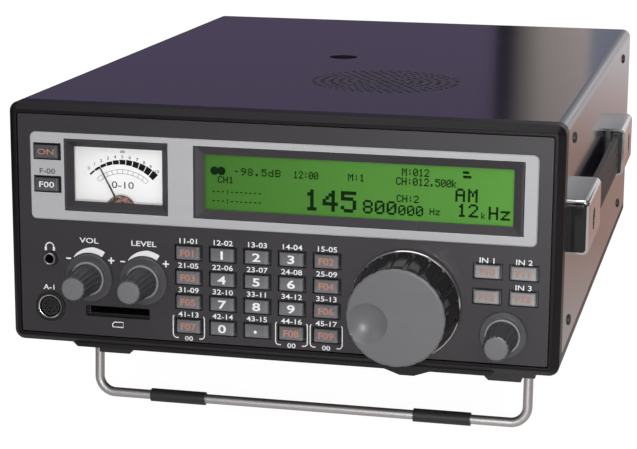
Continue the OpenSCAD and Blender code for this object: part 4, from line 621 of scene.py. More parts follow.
def turned(bm, centre, rings, steps, flutes=0, depth=0.0, wide=1.0):
    """A turned form in front of the panel: rings of radius, height, share of the flute's depth and
    material, from the back of the axis to the front. Each flute is as wide as a share of its pitch."""
    cx, cz = centre
    loops = []
    for radius, height, share, material in rings:
        loop = []
        for i in range(steps if radius else 1):
            across = (i * flutes / steps) % 1.0 - 0.5
            r = radius - share * depth * max(0.0, 1 - (2 * across / wide) ** 2)
            x, z = around(cx, cz, r, 360 * i / steps)
            loop.append(bm.verts.new((x, PANEL_Y - height, z)))
        loops.append((loop, material))
    for (first, _), (second, material) in zip(loops, loops[1:]):
        for i in range(steps):
            following = (i + 1) % steps
            corners = {first[i % len(first)]: None, first[following % len(first)]: None,
                       second[following % len(second)]: None, second[i % len(second)]: None}
            bm.faces.new(list(corners)).material_index = material


# Dials and knobs

# Room that a knob's hollow back leaves for the bush of its shaft
BUSH_ROOM = 3.9

DIAL_FLOAT = 1.2
DIAL_HOLLOW_R = 16.0
DIAL_FLANGE_T = 1.8
DIAL_FLANGE_EDGE = 0.3
DIAL_LIP = 0.6
DIAL_GRIP_FOOT = 0.8
DIAL_GRIP_HEAD = 1.0
DIAL_GRIP_RINGS = 6
DIAL_FLUTES = 20
DIAL_FLUTE_DEPTH = 0.6
DIAL_FLUTE_WIDE = 0.34
DIAL_FLUTE_STEPS = 24
DIAL_FACE_R = 19.0
DIAL_FACE_EDGE = 0.8
DIAL_FACE_RINGS = 64
DIMPLE_R = 7.8
DIMPLE_DEPTH = 2.6
DIMPLE_OUT = 11.1
DIMPLE_ANGLE = 194.0


def press_dimple(bm, centre, face_y):
    """Sinks a round finger dimple, part of a ball, into the dial's face."""
    ball = (DIMPLE_R ** 2 + DIMPLE_DEPTH ** 2) / (2 * DIMPLE_DEPTH)
    cx, cz = around(*centre, DIMPLE_OUT, DIMPLE_ANGLE)
    for vertex in bm.verts:
        out = math.hypot(vertex.co.x - cx, vertex.co.z - cz)
        if abs(vertex.co.y - face_y) < HAIR and out < DIMPLE_R:
            vertex.co.y += math.sqrt(ball ** 2 - out ** 2) - (ball - DIMPLE_DEPTH)


def main_dial():
    """Tuning dial: matt face with a finger dimple, glossy fluted side, bright rear ring."""
    low, high = case_box("main_dial")
    centre = axis_place("main_dial_spin")
    flange_r = (high.x - low.x) / 2
    edge_r = flange_r - DIAL_FLANGE_EDGE
    neck_r = flange_r - DIAL_LIP
    face_r = DIAL_FACE_R - DIAL_FACE_EDGE
    top = PANEL_Y - low.y
    back, front = DIAL_FLOAT, DIAL_FLOAT + DIAL_FLANGE_T
    foot, head = front + DIAL_GRIP_FOOT, top - DIAL_GRIP_HEAD
    matt, gloss, ring = 0, 1, 2
    rings = [(0, BUSH_ROOM, 0, gloss), (DIAL_HOLLOW_R, BUSH_ROOM, 0, gloss), (DIAL_HOLLOW_R, back, 0, gloss),
             (edge_r, back, 0, ring), (flange_r, back + DIAL_FLANGE_EDGE, 0, ring),
             (flange_r, front - 0.4, 0, ring), (edge_r, front, 0, ring),
             (neck_r + 0.1, front + 0.15, 0, ring), (neck_r, front + 0.5, 0, gloss),
             (neck_r - 0.05, foot, 0.9, gloss)]
    for i in range(1, DIAL_GRIP_RINGS + 1):
        share = i / DIAL_GRIP_RINGS
        radius = neck_r + (DIAL_FACE_R - neck_r) * share
        rings.append((radius, foot + (head - foot) * share, 1 - 0.5 * share ** 4, gloss))
    rings += [(DIAL_FACE_R - 0.1, top - 0.6, 0.35, gloss), (DIAL_FACE_R - 0.4, top - 0.2, 0.2, matt),
              (face_r, top, 0.1, matt)]
    for i in range(1, DIAL_FACE_RINGS):
        rings.append((face_r * (1 - i / DIAL_FACE_RINGS), top, 0.1 * max(0.0, 1 - i / 3), matt))
    rings.append((0, top, 0, matt))
    bm = bmesh.new()
    turned(bm, centre, rings, DIAL_FLUTES * DIAL_FLUTE_STEPS, DIAL_FLUTES, DIAL_FLUTE_DEPTH, DIAL_FLUTE_WIDE)
    press_dimple(bm, centre, PANEL_Y - top)
    dial = add_piece("main_dial_turned", bm, "main_dial_unit", "knob_grey", KNOB_GREY, DIAL_GLOSS, DIAL_RING,
                     sharp=32)
    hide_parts("main_dial")


KNOB_FLOAT = 0.4
KNOB_HOLLOW_R = 5.6
SKIRT_BACK_EDGE = 0.15
SKIRT_TOP = 1.6
SKIRT_EDGE = 0.45
KNOB_RING_R = 6.9
KNOB_RING_TOP = 3.2
KNOB_GRIP_R = 6.0
KNOB_GRIP_FOOT = 4.2
KNOB_GRIP_HEAD = 0.55
KNOB_GRIP_RINGS = 5
KNOB_TIP_R = 5.25
KNOB_FACE_R = 4.65
KNOB_FLUTES = 18
KNOB_FLUTE_DEPTH = 0.45
KNOB_FLUTE_STEPS = 8


def skirted_knob(node, joint, body):
    """Knob with a flat skirt, a ring whose top is painted pale as a highlight, and a tapering fluted grip."""
    low, high = case_box(node)
    skirt_r = (high.x - low.x) / 2
    top = PANEL_Y - low.y
    # rim is the ring's top, painted pale as a highlight
    face, dark, skirt, rim = 0, 1, 2, 3
    rings = [(0, BUSH_ROOM, 0, dark), (KNOB_HOLLOW_R - 0.2, BUSH_ROOM, 0, dark),
             (KNOB_HOLLOW_R, KNOB_FLOAT, 0, dark), (skirt_r - SKIRT_BACK_EDGE, KNOB_FLOAT, 0, skirt),
             (skirt_r, KNOB_FLOAT + SKIRT_BACK_EDGE, 0, skirt), (skirt_r, SKIRT_TOP - SKIRT_EDGE, 0, skirt),
             (skirt_r - SKIRT_EDGE, SKIRT_TOP, 0, skirt), (KNOB_RING_R + 0.1, SKIRT_TOP, 0, skirt),
             (KNOB_RING_R, SKIRT_TOP + 0.1, 0, skirt), (KNOB_RING_R, KNOB_RING_TOP - 0.3, 0, skirt),
             (KNOB_RING_R - 0.25, KNOB_RING_TOP, 0, rim), (KNOB_GRIP_R + 0.2, KNOB_RING_TOP, 0, rim),
             (KNOB_GRIP_R, KNOB_RING_TOP + 0.2, 0, dark), (KNOB_GRIP_R - 0.05, KNOB_GRIP_FOOT, 1, dark)]
    rise = top - (KNOB_GRIP_FOOT + KNOB_GRIP_HEAD)
    for i in range(1, KNOB_GRIP_RINGS + 1):
        share = i / KNOB_GRIP_RINGS
        radius = KNOB_GRIP_R + (KNOB_TIP_R - KNOB_GRIP_R) * share
        rings.append((radius, KNOB_GRIP_FOOT + rise * share, 1, dark))
    rings += [(KNOB_FACE_R + 0.15, top - 0.1, 0.5, dark), (KNOB_FACE_R - 0.3, top, 0.1, dark),
              (KNOB_FACE_R * 0.5, top, 0, face), (0, top, 0, face)]
    bm = bmesh.new()
    turned(bm, axis_place(joint), rings, KNOB_FLUTES * KNOB_FLUTE_STEPS, KNOB_FLUTES, KNOB_FLUTE_DEPTH)
    knob = add_piece(node + "_turned", bm, body, "knob_grey", KNOB_FACE, KNOB_DARK, SKIRT_GREY, KNOB_RING_HIGHLIGHT,
                     sharp=40)
    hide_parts(node)


# Keys

KEYPAD = [
    ["search_key", "digit_1_key", "digit_2_key", "digit_3_key", "mode_key"],
    ["scan_key", "digit_4_key", "digit_5_key", "digit_6_key", "step_key"],
    ["memory_key", "digit_7_key", "digit_8_key", "digit_9_key", "filter_key"],
    ["shift_key", "digit_0_key", "point_key", "clear_key", "enter_key"],
]
KEYPAD_KEYS = [node for row in KEYPAD for node in row]
SIDE_KEYS = ["antenna_key", "main_key", "tune_key", "sub_key"]
PLATE_KEYS = ["power_key", "function_key"]

KEY_ROUND = 0.5
KEY_PRINT_LIFT = 0.1
DIGIT_H = 3.1
DIGIT_STRETCH = 1.5
DIGIT_WEIGHT = 0.02
POINT_R = 0.62
POINT_LEFT = 0.4
POINT_DOWN = 0.2
CODE_H = 2.6
SIDE_CODE_H = 2.4
CODE_STRETCH = 1.15
CODE_WEIGHT = 0.03
PLATE_CODE_H = 2.2
PLATE_CODE_STRETCH = 1.4
PLATE_CODE_WEIGHT = 0.01


def key_print(node, text, height, material, stretch, weight):
    """Characters on a key's own face, which move with it."""
    x, z = front_middle(node)
    y = case_box(node)[0].y - HAIR
    bm = bmesh.new()
    if text == ".":
        disc(bm, x - POINT_LEFT, z - POINT_DOWN, POINT_R, y)
    else:
        letters(bm, text, x, z + KEY_PRINT_LIFT, height, y, stretch, weight)
    add_piece(node + "_print", bm, node, SLOT_OF[node], material)


def keys():
    """Every key with rounded corners, its digit in white or its plain code in orange."""
    codes = 0
    for node in KEYPAD_KEYS:
        softened(node, KEY_ROUND, KEY_GREY, segments=3)
        mark = "." if node == "point_key" else node.split("_")[1]
        if mark == "key":
            codes += 1
            key_print(node, f"F{codes:02d}", CODE_H, LEGEND_ORANGE, CODE_STRETCH, CODE_WEIGHT)
        else:
            key_print(node, mark, DIGIT_H, LEGEND_WHITE, DIGIT_STRETCH, DIGIT_WEIGHT)
    for node in SIDE_KEYS:
        softened(node, KEY_ROUND, KEY_PALE, segments=3)
        codes += 1
        key_print(node, f"F{codes:02d}", SIDE_CODE_H, LEGEND_ORANGE, CODE_STRETCH, CODE_WEIGHT)
    for node, text, material in zip(PLATE_KEYS, ("ON", "F00"), (LEGEND_ORANGE, LEGEND_WHITE)):
        softened(node, KEY_ROUND, KEY_DARK, segments=3)
        key_print(node, text, PLATE_CODE_H, material, PLATE_CODE_STRETCH, PLATE_CODE_WEIGHT)


# How far a key's hidden flange reaches past its cap, and the cap's gap in its opening
KEY_FLANGE = 1.1
KEY_GAP = 0.6
# Width of the painted shadow above and at the right, and below and at the left
SHADOW_WIDE = 0.45
SHADOW_THIN = 0.2


def key_wells():
    """Painted shadow at the edge of the opening around each key, broader above and at the right."""
    bm = bmesh.new()
    for node in KEYPAD_KEYS + SIDE_KEYS + PLATE_KEYS:
        low, high = case_box(node)
        y = (PLATE_Y if node in PLATE_KEYS else PANEL_Y) - HAIR / 2
        reach = KEY_GAP - KEY_FLANGE
        left, right = low.x - reach, high.x + reach
        foot, top = low.z - reach, high.z + reach
        across, up = right - left + SHADOW_WIDE + SHADOW_THIN, top - foot
        middle = (left + right + SHADOW_WIDE - SHADOW_THIN) / 2
        bar(bm, middle, top + SHADOW_WIDE / 2, across, SHADOW_WIDE, y)
        bar(bm, middle, foot - SHADOW_THIN / 2, across, SHADOW_THIN, y)
        bar(bm, right + SHADOW_WIDE / 2, (foot + top) / 2, SHADOW_WIDE, up, y)
        bar(bm, left - SHADOW_THIN / 2, (foot + top) / 2, SHADOW_THIN, up, y)
    add_piece("key_wells", bm, "case", "panel_grey", KEY_SHADOW_BLACK)


# Printed legends

BRACKETED = ["shift_key", "clear_key", "enter_key"]
BRACKET_HALF = 6.4
BRACKET_TOP = 4.6
BRACKET_FOOT = 4.9
BRACKET_CORNER = 1.4
BRACKET_RUN = 2.2
BRACKET_LINE = 0.38


def bracket(bm, x, z):
    """Rounded white brackets left and right of a key."""
    for side in (-1, 1):
        bend_x = side * (BRACKET_HALF - BRACKET_CORNER)
        turn = arc(bend_x, BRACKET_CORNER - BRACKET_FOOT, BRACKET_CORNER, 270, 270 + side * 90, 6)
        hook = arc(bend_x, BRACKET_TOP - BRACKET_CORNER, BRACKET_CORNER, 90 - side * 90, 90 - side * 45, 3)
        line = [(side * (BRACKET_HALF - BRACKET_RUN), -BRACKET_FOOT)] + turn + hook
        stroke(bm, [(x + px, z + pz) for px, pz in line], BRACKET_LINE, PRINT_Y)


WEDGE_START = 130.0
WEDGE_END = 58.0
WEDGE_INNER_R = 10.0
WEDGE_OUTER_R = 12.2
WEDGE_THIN = 0.15
# The wedge grows with its way times the pace, up to one, raised to the power
WEDGE_PACE = 1.5
WEDGE_POWER = 0.8
WEDGE_STEPS = 24
MINUS_X, MINUS_Z, MINUS_LEN = -8.7, 7.2, 2.0
PLUS_X, PLUS_Z, PLUS_LEN = 9.1, 7.3, 2.6
SIGN_LINE = 0.6


def level_wedge(bm, joint):
    """White wedge that grows round the top of a knob, from minus to plus."""
    cx, cz = axis_place(joint)
    inner = arc(cx, cz, WEDGE_INNER_R, WEDGE_END, WEDGE_START, WEDGE_STEPS)
    outer = []
    for i in range(WEDGE_STEPS + 1):
        share = i / WEDGE_STEPS
        growth = min(1.0, WEDGE_PACE * share) ** WEDGE_POWER
        radius = WEDGE_INNER_R + WEDGE_THIN + (WEDGE_OUTER_R - WEDGE_INNER_R) * growth
        outer.append(around(cx, cz, radius, WEDGE_START + (WEDGE_END - WEDGE_START) * share))
    ink(bm, inner + outer, PRINT_Y)
    bar(bm, cx + MINUS_X, cz + MINUS_Z, MINUS_LEN, SIGN_LINE, PRINT_Y)
    bar(bm, cx + PLUS_X, cz + PLUS_Z, PLUS_LEN, SIGN_LINE, PRINT_Y)
    bar(bm, cx + PLUS_X, cz + PLUS_Z, SIGN_LINE, PLUS_LEN, PRINT_Y - LAYER)


HEADSET_R = 1.7
HEADSET_LINE = 0.45
HEADSET_PAD_W, HEADSET_PAD_H, HEADSET_PAD_DOWN = 0.9, 1.5, 0.7
CARD_HALF_W, CARD_HALF_H = 2.2, 1.0
CARD_CUT_W, CARD_CUT_H = 0.8, 0.7
CARD_LINE = 0.4


def headset_sign(bm, x, z):
    """Plain headset outline."""
    stroke(bm, arc(x, z, HEADSET_R, 0, 180, 12), HEADSET_LINE, PRINT_Y)
    for side in (-1, 1):
        bar(bm, x + side * HEADSET_R, z - HEADSET_PAD_DOWN, HEADSET_PAD_W, HEADSET_PAD_H, PRINT_Y)


def card_sign(bm, x, z):
    """Plain card outline with a cut corner. Its last stretch runs over the first, to close the corner."""
    left, right, foot, top = x - CARD_HALF_W, x + CARD_HALF_W, z - CARD_HALF_H, z + CARD_HALF_H
    outline = [(left, foot), (right, foot), (right, top), (left + CARD_CUT_W, top), (left, top - CARD_CUT_H),
               (left, foot), (left + CARD_CUT_W, foot)]
    stroke(bm, outline, CARD_LINE, PRINT_Y)


LEGEND_H = 2.0
LEGEND_STRETCH = 1.25
LEGEND_UP = 4.8
BRACKET_LEGEND_H = 1.8
BRACKET_LEGEND_STRETCH = 1.3
BRACKET_LEGEND_DOWN = 5.0
SIDE_LEGEND_UP = 4.3
KNOB_LEGEND_STRETCH = 1.4
KNOB_LEGEND_UP = 14.9
PLATE_LEGEND_STRETCH = 1.3
PLATE_LEGEND_UP = 5.3
ACCESSORY_LEGEND_STRETCH = 1.2
ACCESSORY_LEGEND_Z = 22.9
HEADSET_Z = 39.4
CARD_SIGN_Z = 9.2


def panel_legends():
    """White prints on the front panel: plain codes over the keys, brackets, wedges and signs."""
    bm = bmesh.new()
    for row, names in enumerate(KEYPAD):
        for column, node in enumerate(names):
            x, z = front_middle(node)
            code = f"{row + 1}{column + 1}-{4 * row + column + 1:02d}"
            letters(bm, code, x, z + LEGEND_UP, LEGEND_H, PRINT_Y, LEGEND_STRETCH)
    for node in BRACKETED:
        x, z = front_middle(node)
        bracket(bm, x, z)
        letters(bm, "00", x, z - BRACKET_LEGEND_DOWN, BRACKET_LEGEND_H, PRINT_Y, BRACKET_LEGEND_STRETCH)
    for node, text in (("antenna_key", "IN 1"), ("main_key", "IN 2"), ("sub_key", "IN 3")):
        x, z = front_middle(node)
        letters(bm, text, x, z + SIDE_LEGEND_UP, LEGEND_H, PRINT_Y, LEGEND_STRETCH)
    for joint, text in (("volume_turn", "VOL"), ("squelch_turn", "LEVEL")):
        x, z = axis_place(joint)
        level_wedge(bm, joint)
        letters(bm, text, x, z + KNOB_LEGEND_UP, LEGEND_H, PRINT_Y, KNOB_LEGEND_STRETCH)
    headset_sign(bm, front_middle("phones_jack")[0], HEADSET_Z)
    letters(bm, "A-1", front_middle("accessory_socket")[0], ACCESSORY_LEGEND_Z, LEGEND_H, PRINT_Y,
            ACCESSORY_LEGEND_STRETCH)
    card_sign(bm, front_middle("card_socket")[0], CARD_SIGN_Z)
    add_piece("panel_legends", bm, "case", "panel_grey", LEGEND_WHITE)
    bm = bmesh.new()
    x, z = front_middle("function_key")
    letters(bm, "F-00", x, z + PLATE_LEGEND_UP, LEGEND_H, PLATE_Y - HAIR, PLATE_LEGEND_STRETCH)
    add_piece("plate_legend", bm, "case", "plate_silver", LEGEND_DARK)


# Meter

METER_TICKS = 11
METER_SPREAD = 41.0
METER_STEP = 2 * METER_SPREAD / (METER_TICKS - 1)
METER_SCALE_R = 19.2
METER_BLOCK_HALF = 0.35
METER_BLOCK_GROWTH = 1.2
METER_BLOCK_SHARE = 0.45
METER_NUMBER_R = 21.4
METER_NUMBER_H = 1.2
METER_BAND_INNER_R, METER_BAND_OUTER_R = 14.6, 16.2
METER_LINE = 0.16
METER_STRETCH = 1.2
METER_RANGE_UP, METER_RANGE_H, METER_RANGE_STRETCH = 10.0, 2.7, 1.3
METER_UNIT_UP, METER_UNIT_H = 23.4, 1.1
COIL_COVER_R = 6.3
COIL_COVER_SUNK = 14.0
COIL_COVER_Y = 4.0


def meter_face():
    """Scale of growing black blocks, plain numbers, a fine outlined band and the movement's cover."""
    y = case_box("meter_scale")[0].y - HAIR
    px, pz = axis_place("needle_swing")
    ticks = [90 + METER_SPREAD - i * METER_STEP for i in range(METER_TICKS)]
    half = METER_BLOCK_SHARE * METER_STEP
    blocks, fine = bmesh.new(), bmesh.new()
    for i, tick in enumerate(ticks):
        grow = METER_BLOCK_HALF + METER_BLOCK_GROWTH * i / (METER_TICKS - 1)
        outer = arc(px, pz, METER_SCALE_R + grow, tick - half, tick + half, 4)
        inner = arc(px, pz, METER_SCALE_R - grow, tick + half, tick - half, 4)
        ink(blocks, outer + inner, y)
        letters(fine, str(i), *around(px, pz, METER_NUMBER_R, tick), METER_NUMBER_H, y, METER_STRETCH)
    band = (METER_BAND_INNER_R, METER_BAND_OUTER_R)
    for radius in band:
        stroke(fine, arc(px, pz, radius, 90 - METER_SPREAD, 90 + METER_SPREAD, 40), METER_LINE, y)
    for tick in ticks:
        stroke(fine, [around(px, pz, radius, tick) for radius in band], METER_LINE, y)
    letters(blocks, "0-10", px, pz + METER_RANGE_UP, METER_RANGE_H, y, METER_RANGE_STRETCH, 0.0)
    letters(fine, "dB", px, pz + METER_UNIT_UP, METER_UNIT_H, y, METER_STRETCH)
    add_piece("meter_blocks", blocks, "case", "scale_white", SCALE_BLACK)
    add_piece("meter_fine_marks", fine, "case", "scale_white", SCALE_GREY)
    cover = bmesh.new()
    hub = arc(px, pz, COIL_COVER_R, -COIL_COVER_SUNK, 180 + COIL_COVER_SUNK, 32)
    ink(cover, hub, COIL_COVER_Y - HAIR)
    add_piece("meter_coil_cover", cover, "case", "bezel_black", COPPER_COIL)


# Display

# Rows of dots of each character, from the top
DOTS = {
    "0": "01110 10001 10011 10101 11001 10001 01110",
    "1": "00100 01100 00100 00100 00100 00100 01110",
    "2": "01110 10001 00001 00010 00100 01000 11111",
    "4": "00010 00110 01010 10010 11111 00010 00010",
    "5": "11111 10000 11110 00001 00001 10001 01110",
    "8": "01110 10001 10001 01110 10001 10001 01110",
    "9": "01110 10001 10001 01111 00001 00010 01100",
    "-": "00000 00000 00000 01110 00000 00000 00000",
    ":": "00000 00100 00100 00000 00100 00100 00000",
    ".": "00000 00000 00000 00000 00000 01100 01100",
    "A": "01110 10001 10001 11111 10001 10001 10001",
    "B": "11110 10001 10001 11110 10001 10001 11110",
    "C": "01110 10001 10000 10000 10000 10001 01110",
    "H": "10001 10001 10001 11111 10001 10001 10001",
    "M": "10001 11011 10101 10101 10001 10001 10001",
    "d": "00001 00001 01101 10011 10001 10001 01111",
    "k": "10000 10000 10010 10100 11000 10100 10010",
    "z": "00000 00000 11111 00010 00100 01000 11111",
}
DOT_ROWS = 7
DOT_COLUMNS = 5
DOT_FILL = 1.2
DOT_LAYER = 0.003
# Share of a character's spacing that its dots may take
CHARACTER_SHARE = 0.86
# Text, left edge, foot, height and spacing of its characters
DISPLAY_ROWS = [
    ("-98.5dB", -17.8, 72.1, 2.8, 2.75),
    ("12:00", 5.9, 72.0, 2.8, 2.0),
    ("M:1", 27.4, 72.1, 2.8, 2.2),
    ("CH1", -24.3, 68.7, 2.6, 2.2),
    ("---:-------", -26.8, 64.0, 2.4, 1.85),
    ("---:-------", -26.8, 60.3, 2.4, 1.85),
    ("145", 10.3, 59.8, 8.1, 7.2),
    ("800", 33.3, 59.8, 5.2, 4.6),
    ("000", 47.0, 59.8, 3.9, 3.4),
    ("CH:2", 46.3, 64.9, 2.8, 2.2),
    ("Hz", 59.1, 60.6, 2.5, 2.2),
    ("AM", 68.9, 66.3, 5.0, 4.8),
    ("12", 69.7, 60.5, 5.0, 4.3),
    ("k", 78.9, 60.1, 2.5, 2.0),
    ("Hz", 81.7, 60.0, 4.9, 4.5),
    ("M:012", 48.2, 75.2, 2.9, 2.15),
    ("CH:012.500k", 46.0, 71.6, 2.9, 2.15),
]
BUSY_SPOTS = [(-25.6, 73.4), (-22.9, 73.4)]
BUSY_SPOT_R = 1.7
# Middle and length of the bars at the upper right
STRENGTH_BARS = [(72.7, 77.6, 2.4), (73.2, 75.9, 3.2)]
STRENGTH_BAR_H = 1.0


def display_characters():
    """Plain figures in square dots behind the display's window."""
    y = case_box("lcd_panel")[0].y - HAIR
    bm = bmesh.new()
    for text, x, z, height, spacing in DISPLAY_ROWS:
        dot = height / DOT_ROWS
        width = min(dot, spacing * CHARACTER_SHARE / DOT_COLUMNS)
        for i, character in enumerate(text):
            for row, line in enumerate(DOTS[character].split()):
                for column, lit in enumerate(line):
                    if lit == "1":
                        dot_x = x + i * spacing + (column + 0.5) * width
                        dot_z = z + (DOT_ROWS - 0.5 - row) * dot
                        dot_y = y - DOT_LAYER * ((row + column) % 2)
                        bar(bm, dot_x, dot_z, DOT_FILL * width, DOT_FILL * dot, dot_y)
    for i, (x, z) in enumerate(BUSY_SPOTS):
        disc(bm, x, z, BUSY_SPOT_R, y - i * LAYER)
    for x, z, length in STRENGTH_BARS:
        bar(bm, x, z, length, STRENGTH_BAR_H, y)
    add_piece("display_characters", bm, "case", "display_green", DISPLAY_INK)


WINDOW_SHRINK = 0.2


def window_panes():
    """Clear panes, drawn a hair smaller so that their backs don't share a face with the display."""
    bm = bmesh.new()
    bm.from_mesh(NODES["display_windows"].data)
    bm.transform(TO_CASE)
    bmesh.ops.remove_doubles(bm, verts=bm.verts, dist=WELD)
    bm.normal_update()
    for vertex in bm.verts:
        vertex.co -= vertex.normal * WINDOW_SHRINK
    panes = add_piece("display_windows_clear", bm, BODY_OF["display_windows"], SLOT_OF["display_windows"],
                      CLEAR_WINDOW)
    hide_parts("display_windows")


# Sockets

# Radius and height in front of the panel, round each closed section
PHONES_RIM = [(1.82, 0.6), (1.82, 1.0), (1.95, 1.15), (2.3, 1.15), (2.45, 0.95), (2.45, 0.6)]
ACCESSORY_SHELL = [(4.4, -3.0), (4.4, 0.2), (4.55, 0.3), (4.75, 0.3), (4.84, 0.2), (4.84, -3.0)]


def socket_trim(name, node, section, steps):
    """A bright turned rim in a socket."""
    bm = bmesh.new()
    rings = [(radius, height, 0, 0) for radius, height in section + section[:1]]
    turned(bm, front_middle(node), rings, steps)
    bmesh.ops.remove_doubles(bm, verts=bm.verts, dist=WELD)
    add_piece(name, bm, "case", "socket_black", SOCKET_NICKEL)


# Handle

CAP_LEN = 47.0
CAP_ROUND = 2.4
CAP_CORNER = 2.6
CAP_BENDS = 6
# Bends of the front end painted black with it, as dark reflection
CAP_DARK_REFLECTION_BENDS = 2
CAP_WALL = 1.2
CAP_MOUTH = 12.3
CAP_SCREW_AT = 19.0
CAP_RECESS_R = 4.4
CAP_RECESS = 1.6
CAP_RECESS_STEPS = 48
# A face whose normal rises more than this looks up
UPWARD = 0.9


def cap_section(bm, y, inner, outer, middle, half, corner):
    """One outline of a cap across its length, with rounded outer corners and a point in mid height."""
    foot = arc(outer - corner, middle - half + corner, corner, 270, 360, CAP_BENDS)
    head = arc(outer - corner, middle + half - corner, corner, 0, 90, CAP_BENDS)
    outline = [(inner, middle - half)] + foot + [(outer, middle)] + head + [(inner, middle + half)]
    return [bm.verts.new((x, y, z)) for x, z in outline]


def screw_recess(bm, near, far, x, y, z):
    """Outer face of a cap between two of its outlines, with a round recess for a screw."""
    foot, waist, head = CAP_BENDS + 1, CAP_BENDS + 2, CAP_BENDS + 3
    spots = arc(y, z, CAP_RECESS_R, 0, 360, CAP_RECESS_STEPS)[:-1]
    rim = [bm.verts.new((x, spot_y, spot_z)) for spot_y, spot_z in spots]
    floor = [bm.verts.new((x - CAP_RECESS, spot_y, spot_z)) for spot_y, spot_z in spots]
    turn = CAP_RECESS_STEPS // 2
    bm.faces.new([near[head], far[head], far[waist]] + rim[:turn + 1] + [near[waist]])
    bm.faces.new([near[foot], far[foot], far[waist], rim[0]] + rim[:turn - 1:-1] + [near[waist]])
    bm.faces.new(floor)
    for i in range(CAP_RECESS_STEPS):
        bm.faces.new((rim[i], rim[i - 1], floor[i - 1], floor[i]))


def handle_cap(bm, low, high):
    """A bright shoe: rounded front end, round screw recess in its outer face, mouth for the strap. The flat front
    end and its first bends are painted black as a dark reflection, and upward faces take a darker chrome as a dim
    reflection.
    """
    middle, half = (low.z + high.z) / 2, (high.z - low.z) / 2
    black, dim_reflection = 1, 2
    sections = []
    for i in range(CAP_BENDS + 1):
        bend = math.pi / 2 * i / CAP_BENDS
        inset = CAP_ROUND * (1 - math.sin(bend))
        y = low.y + CAP_ROUND * (1 - math.cos(bend))
        sections.append(cap_section(bm, y, low.x, high.x - inset, middle, half - inset, CAP_CORNER - inset))
    end = low.y + CAP_LEN
    sections.append(cap_section(bm, end, low.x, high.x, middle, half, CAP_CORNER))
    mouth = (low.x + CAP_WALL, high.x - CAP_WALL, middle, half - CAP_WALL, CAP_ROUND - CAP_WALL)
    sections += [cap_section(bm, end, *mouth), cap_section(bm, end - CAP_MOUTH, *mouth)]
    # black is the painted dark reflection of the chrome front end
    bm.faces.new(sections[0]).material_index = black
    bm.faces.new(sections[-1])
    count = len(sections[0])
    outer_face = (CAP_BENDS + 1, CAP_BENDS + 2)
    for step, (first, second) in enumerate(zip(sections, sections[1:])):
        for i in range(count):
            if not (step == CAP_BENDS and i in outer_face):
                following = (i + 1) % count
                face = bm.faces.new((first[i], first[following], second[following], second[i]))
                face.material_index = black if step < CAP_DARK_REFLECTION_BENDS else 0
    screw_recess(bm, sections[CAP_BENDS], sections[CAP_BENDS + 1], high.x, low.y + CAP_SCREW_AT, middle)
    bmesh.ops.recalc_face_normals(bm, faces=bm.faces)
    # Upward faces take the darker chrome, a painted dim reflection
    for face in bm.faces:
        if face.normal.z > UPWARD:
            face.material_index = dim_reflection


def handle_caps():
    """Both bright caps of the handle, the rear one turned end for end."""
    low, high = case_box("handle_caps")
    for name in ("front", "rear"):
        bm = bmesh.new()
        handle_cap(bm, low, high)
        if name == "rear":
            for vertex in bm.verts:
                vertex.co.y = low.y + high.y - vertex.co.y
        cap = add_piece(f"handle_cap_{name}", bm, BODY_OF["handle_caps"], SLOT_OF["handle_caps"],
                        HANDLE_CHROME, CAP_END_DARK_REFLECTION, CAP_TOP_DIM_REFLECTION)
        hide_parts("handle_caps")


# Cover

RECESS_PLACE = Vector((-10.0, 163.0))
RECESS_R = 6.6
GRILLE_PLACE = Vector((23.3, 94.0))
GRILLE_R = 34.0
GRILLE_RINGS = 8
GRILLE_PITCH = 3.8
HOLE_R = 1.0
# A face whose normal rises less than this is a wall
STEEP = 0.5
RIM_R = 1.45
RIM_FOOT = 0.005
RIM_SLOPE = 0.1
RIM_STEPS = 16


def in_shade(at, way):
    """Whether a face of the top cover is a wall of the grille's holes or lies in the screw recess: such faces take
    black as painted shade.
    """
    on_roof = Vector((at.x, at.y))
    sunk = at.z < COVER_TOP - HAIR
    return sunk and ((on_roof - RECESS_PLACE).length < RECESS_R
                     or (on_roof - GRILLE_PLACE).length < GRILLE_R and abs(way.z) < STEEP)


def grille_rims():
    """Black ring round each hole of the grille, painted shade that makes the holes look larger and darker."""
    bm = bmesh.new()
    spots = [(0.0, 0.0)]
    for ring in range(1, GRILLE_RINGS + 1):
        spots += [(ring * GRILLE_PITCH, i * 60 / ring) for i in range(6 * ring)]
    section = [(HOLE_R, RIM_FOOT), (HOLE_R + RIM_SLOPE, INK), (RIM_R - RIM_SLOPE, INK), (RIM_R, RIM_FOOT)]
    for out, degrees in spots:
        x, y = around(*GRILLE_PLACE, out, degrees)
        loops = []
        for radius, z in section:
            circle = arc(x, y, radius, 0, 360, RIM_STEPS)[:-1]
            loops.append([bm.verts.new((px, py, COVER_TOP + z)) for px, py in circle])
        for first, second in zip(loops, loops[1:] + loops[:1]):
            for i in range(RIM_STEPS):
                bm.faces.new((first[i - 1], first[i], second[i], second[i - 1]))
    add_piece("grille_rims", bm, "case", SLOT_OF["top_cover"], SPEAKER_BLACK_AND_PAINTED_SHADE)


# Studio

# Angles in degrees and lengths in millimetres, in the case's frame
CAMERA_AZIMUTH = 12.99
CAMERA_ELEVATION = 12.6
CAMERA_ROLL = 0.39
CAMERA_DISTANCE = 767.2
CAMERA_TARGET = (16.37, 0.0, 54.86)
IMAGE_W = 637
FOCAL_PIXELS = 1998.8
SENSOR_W = 36.0


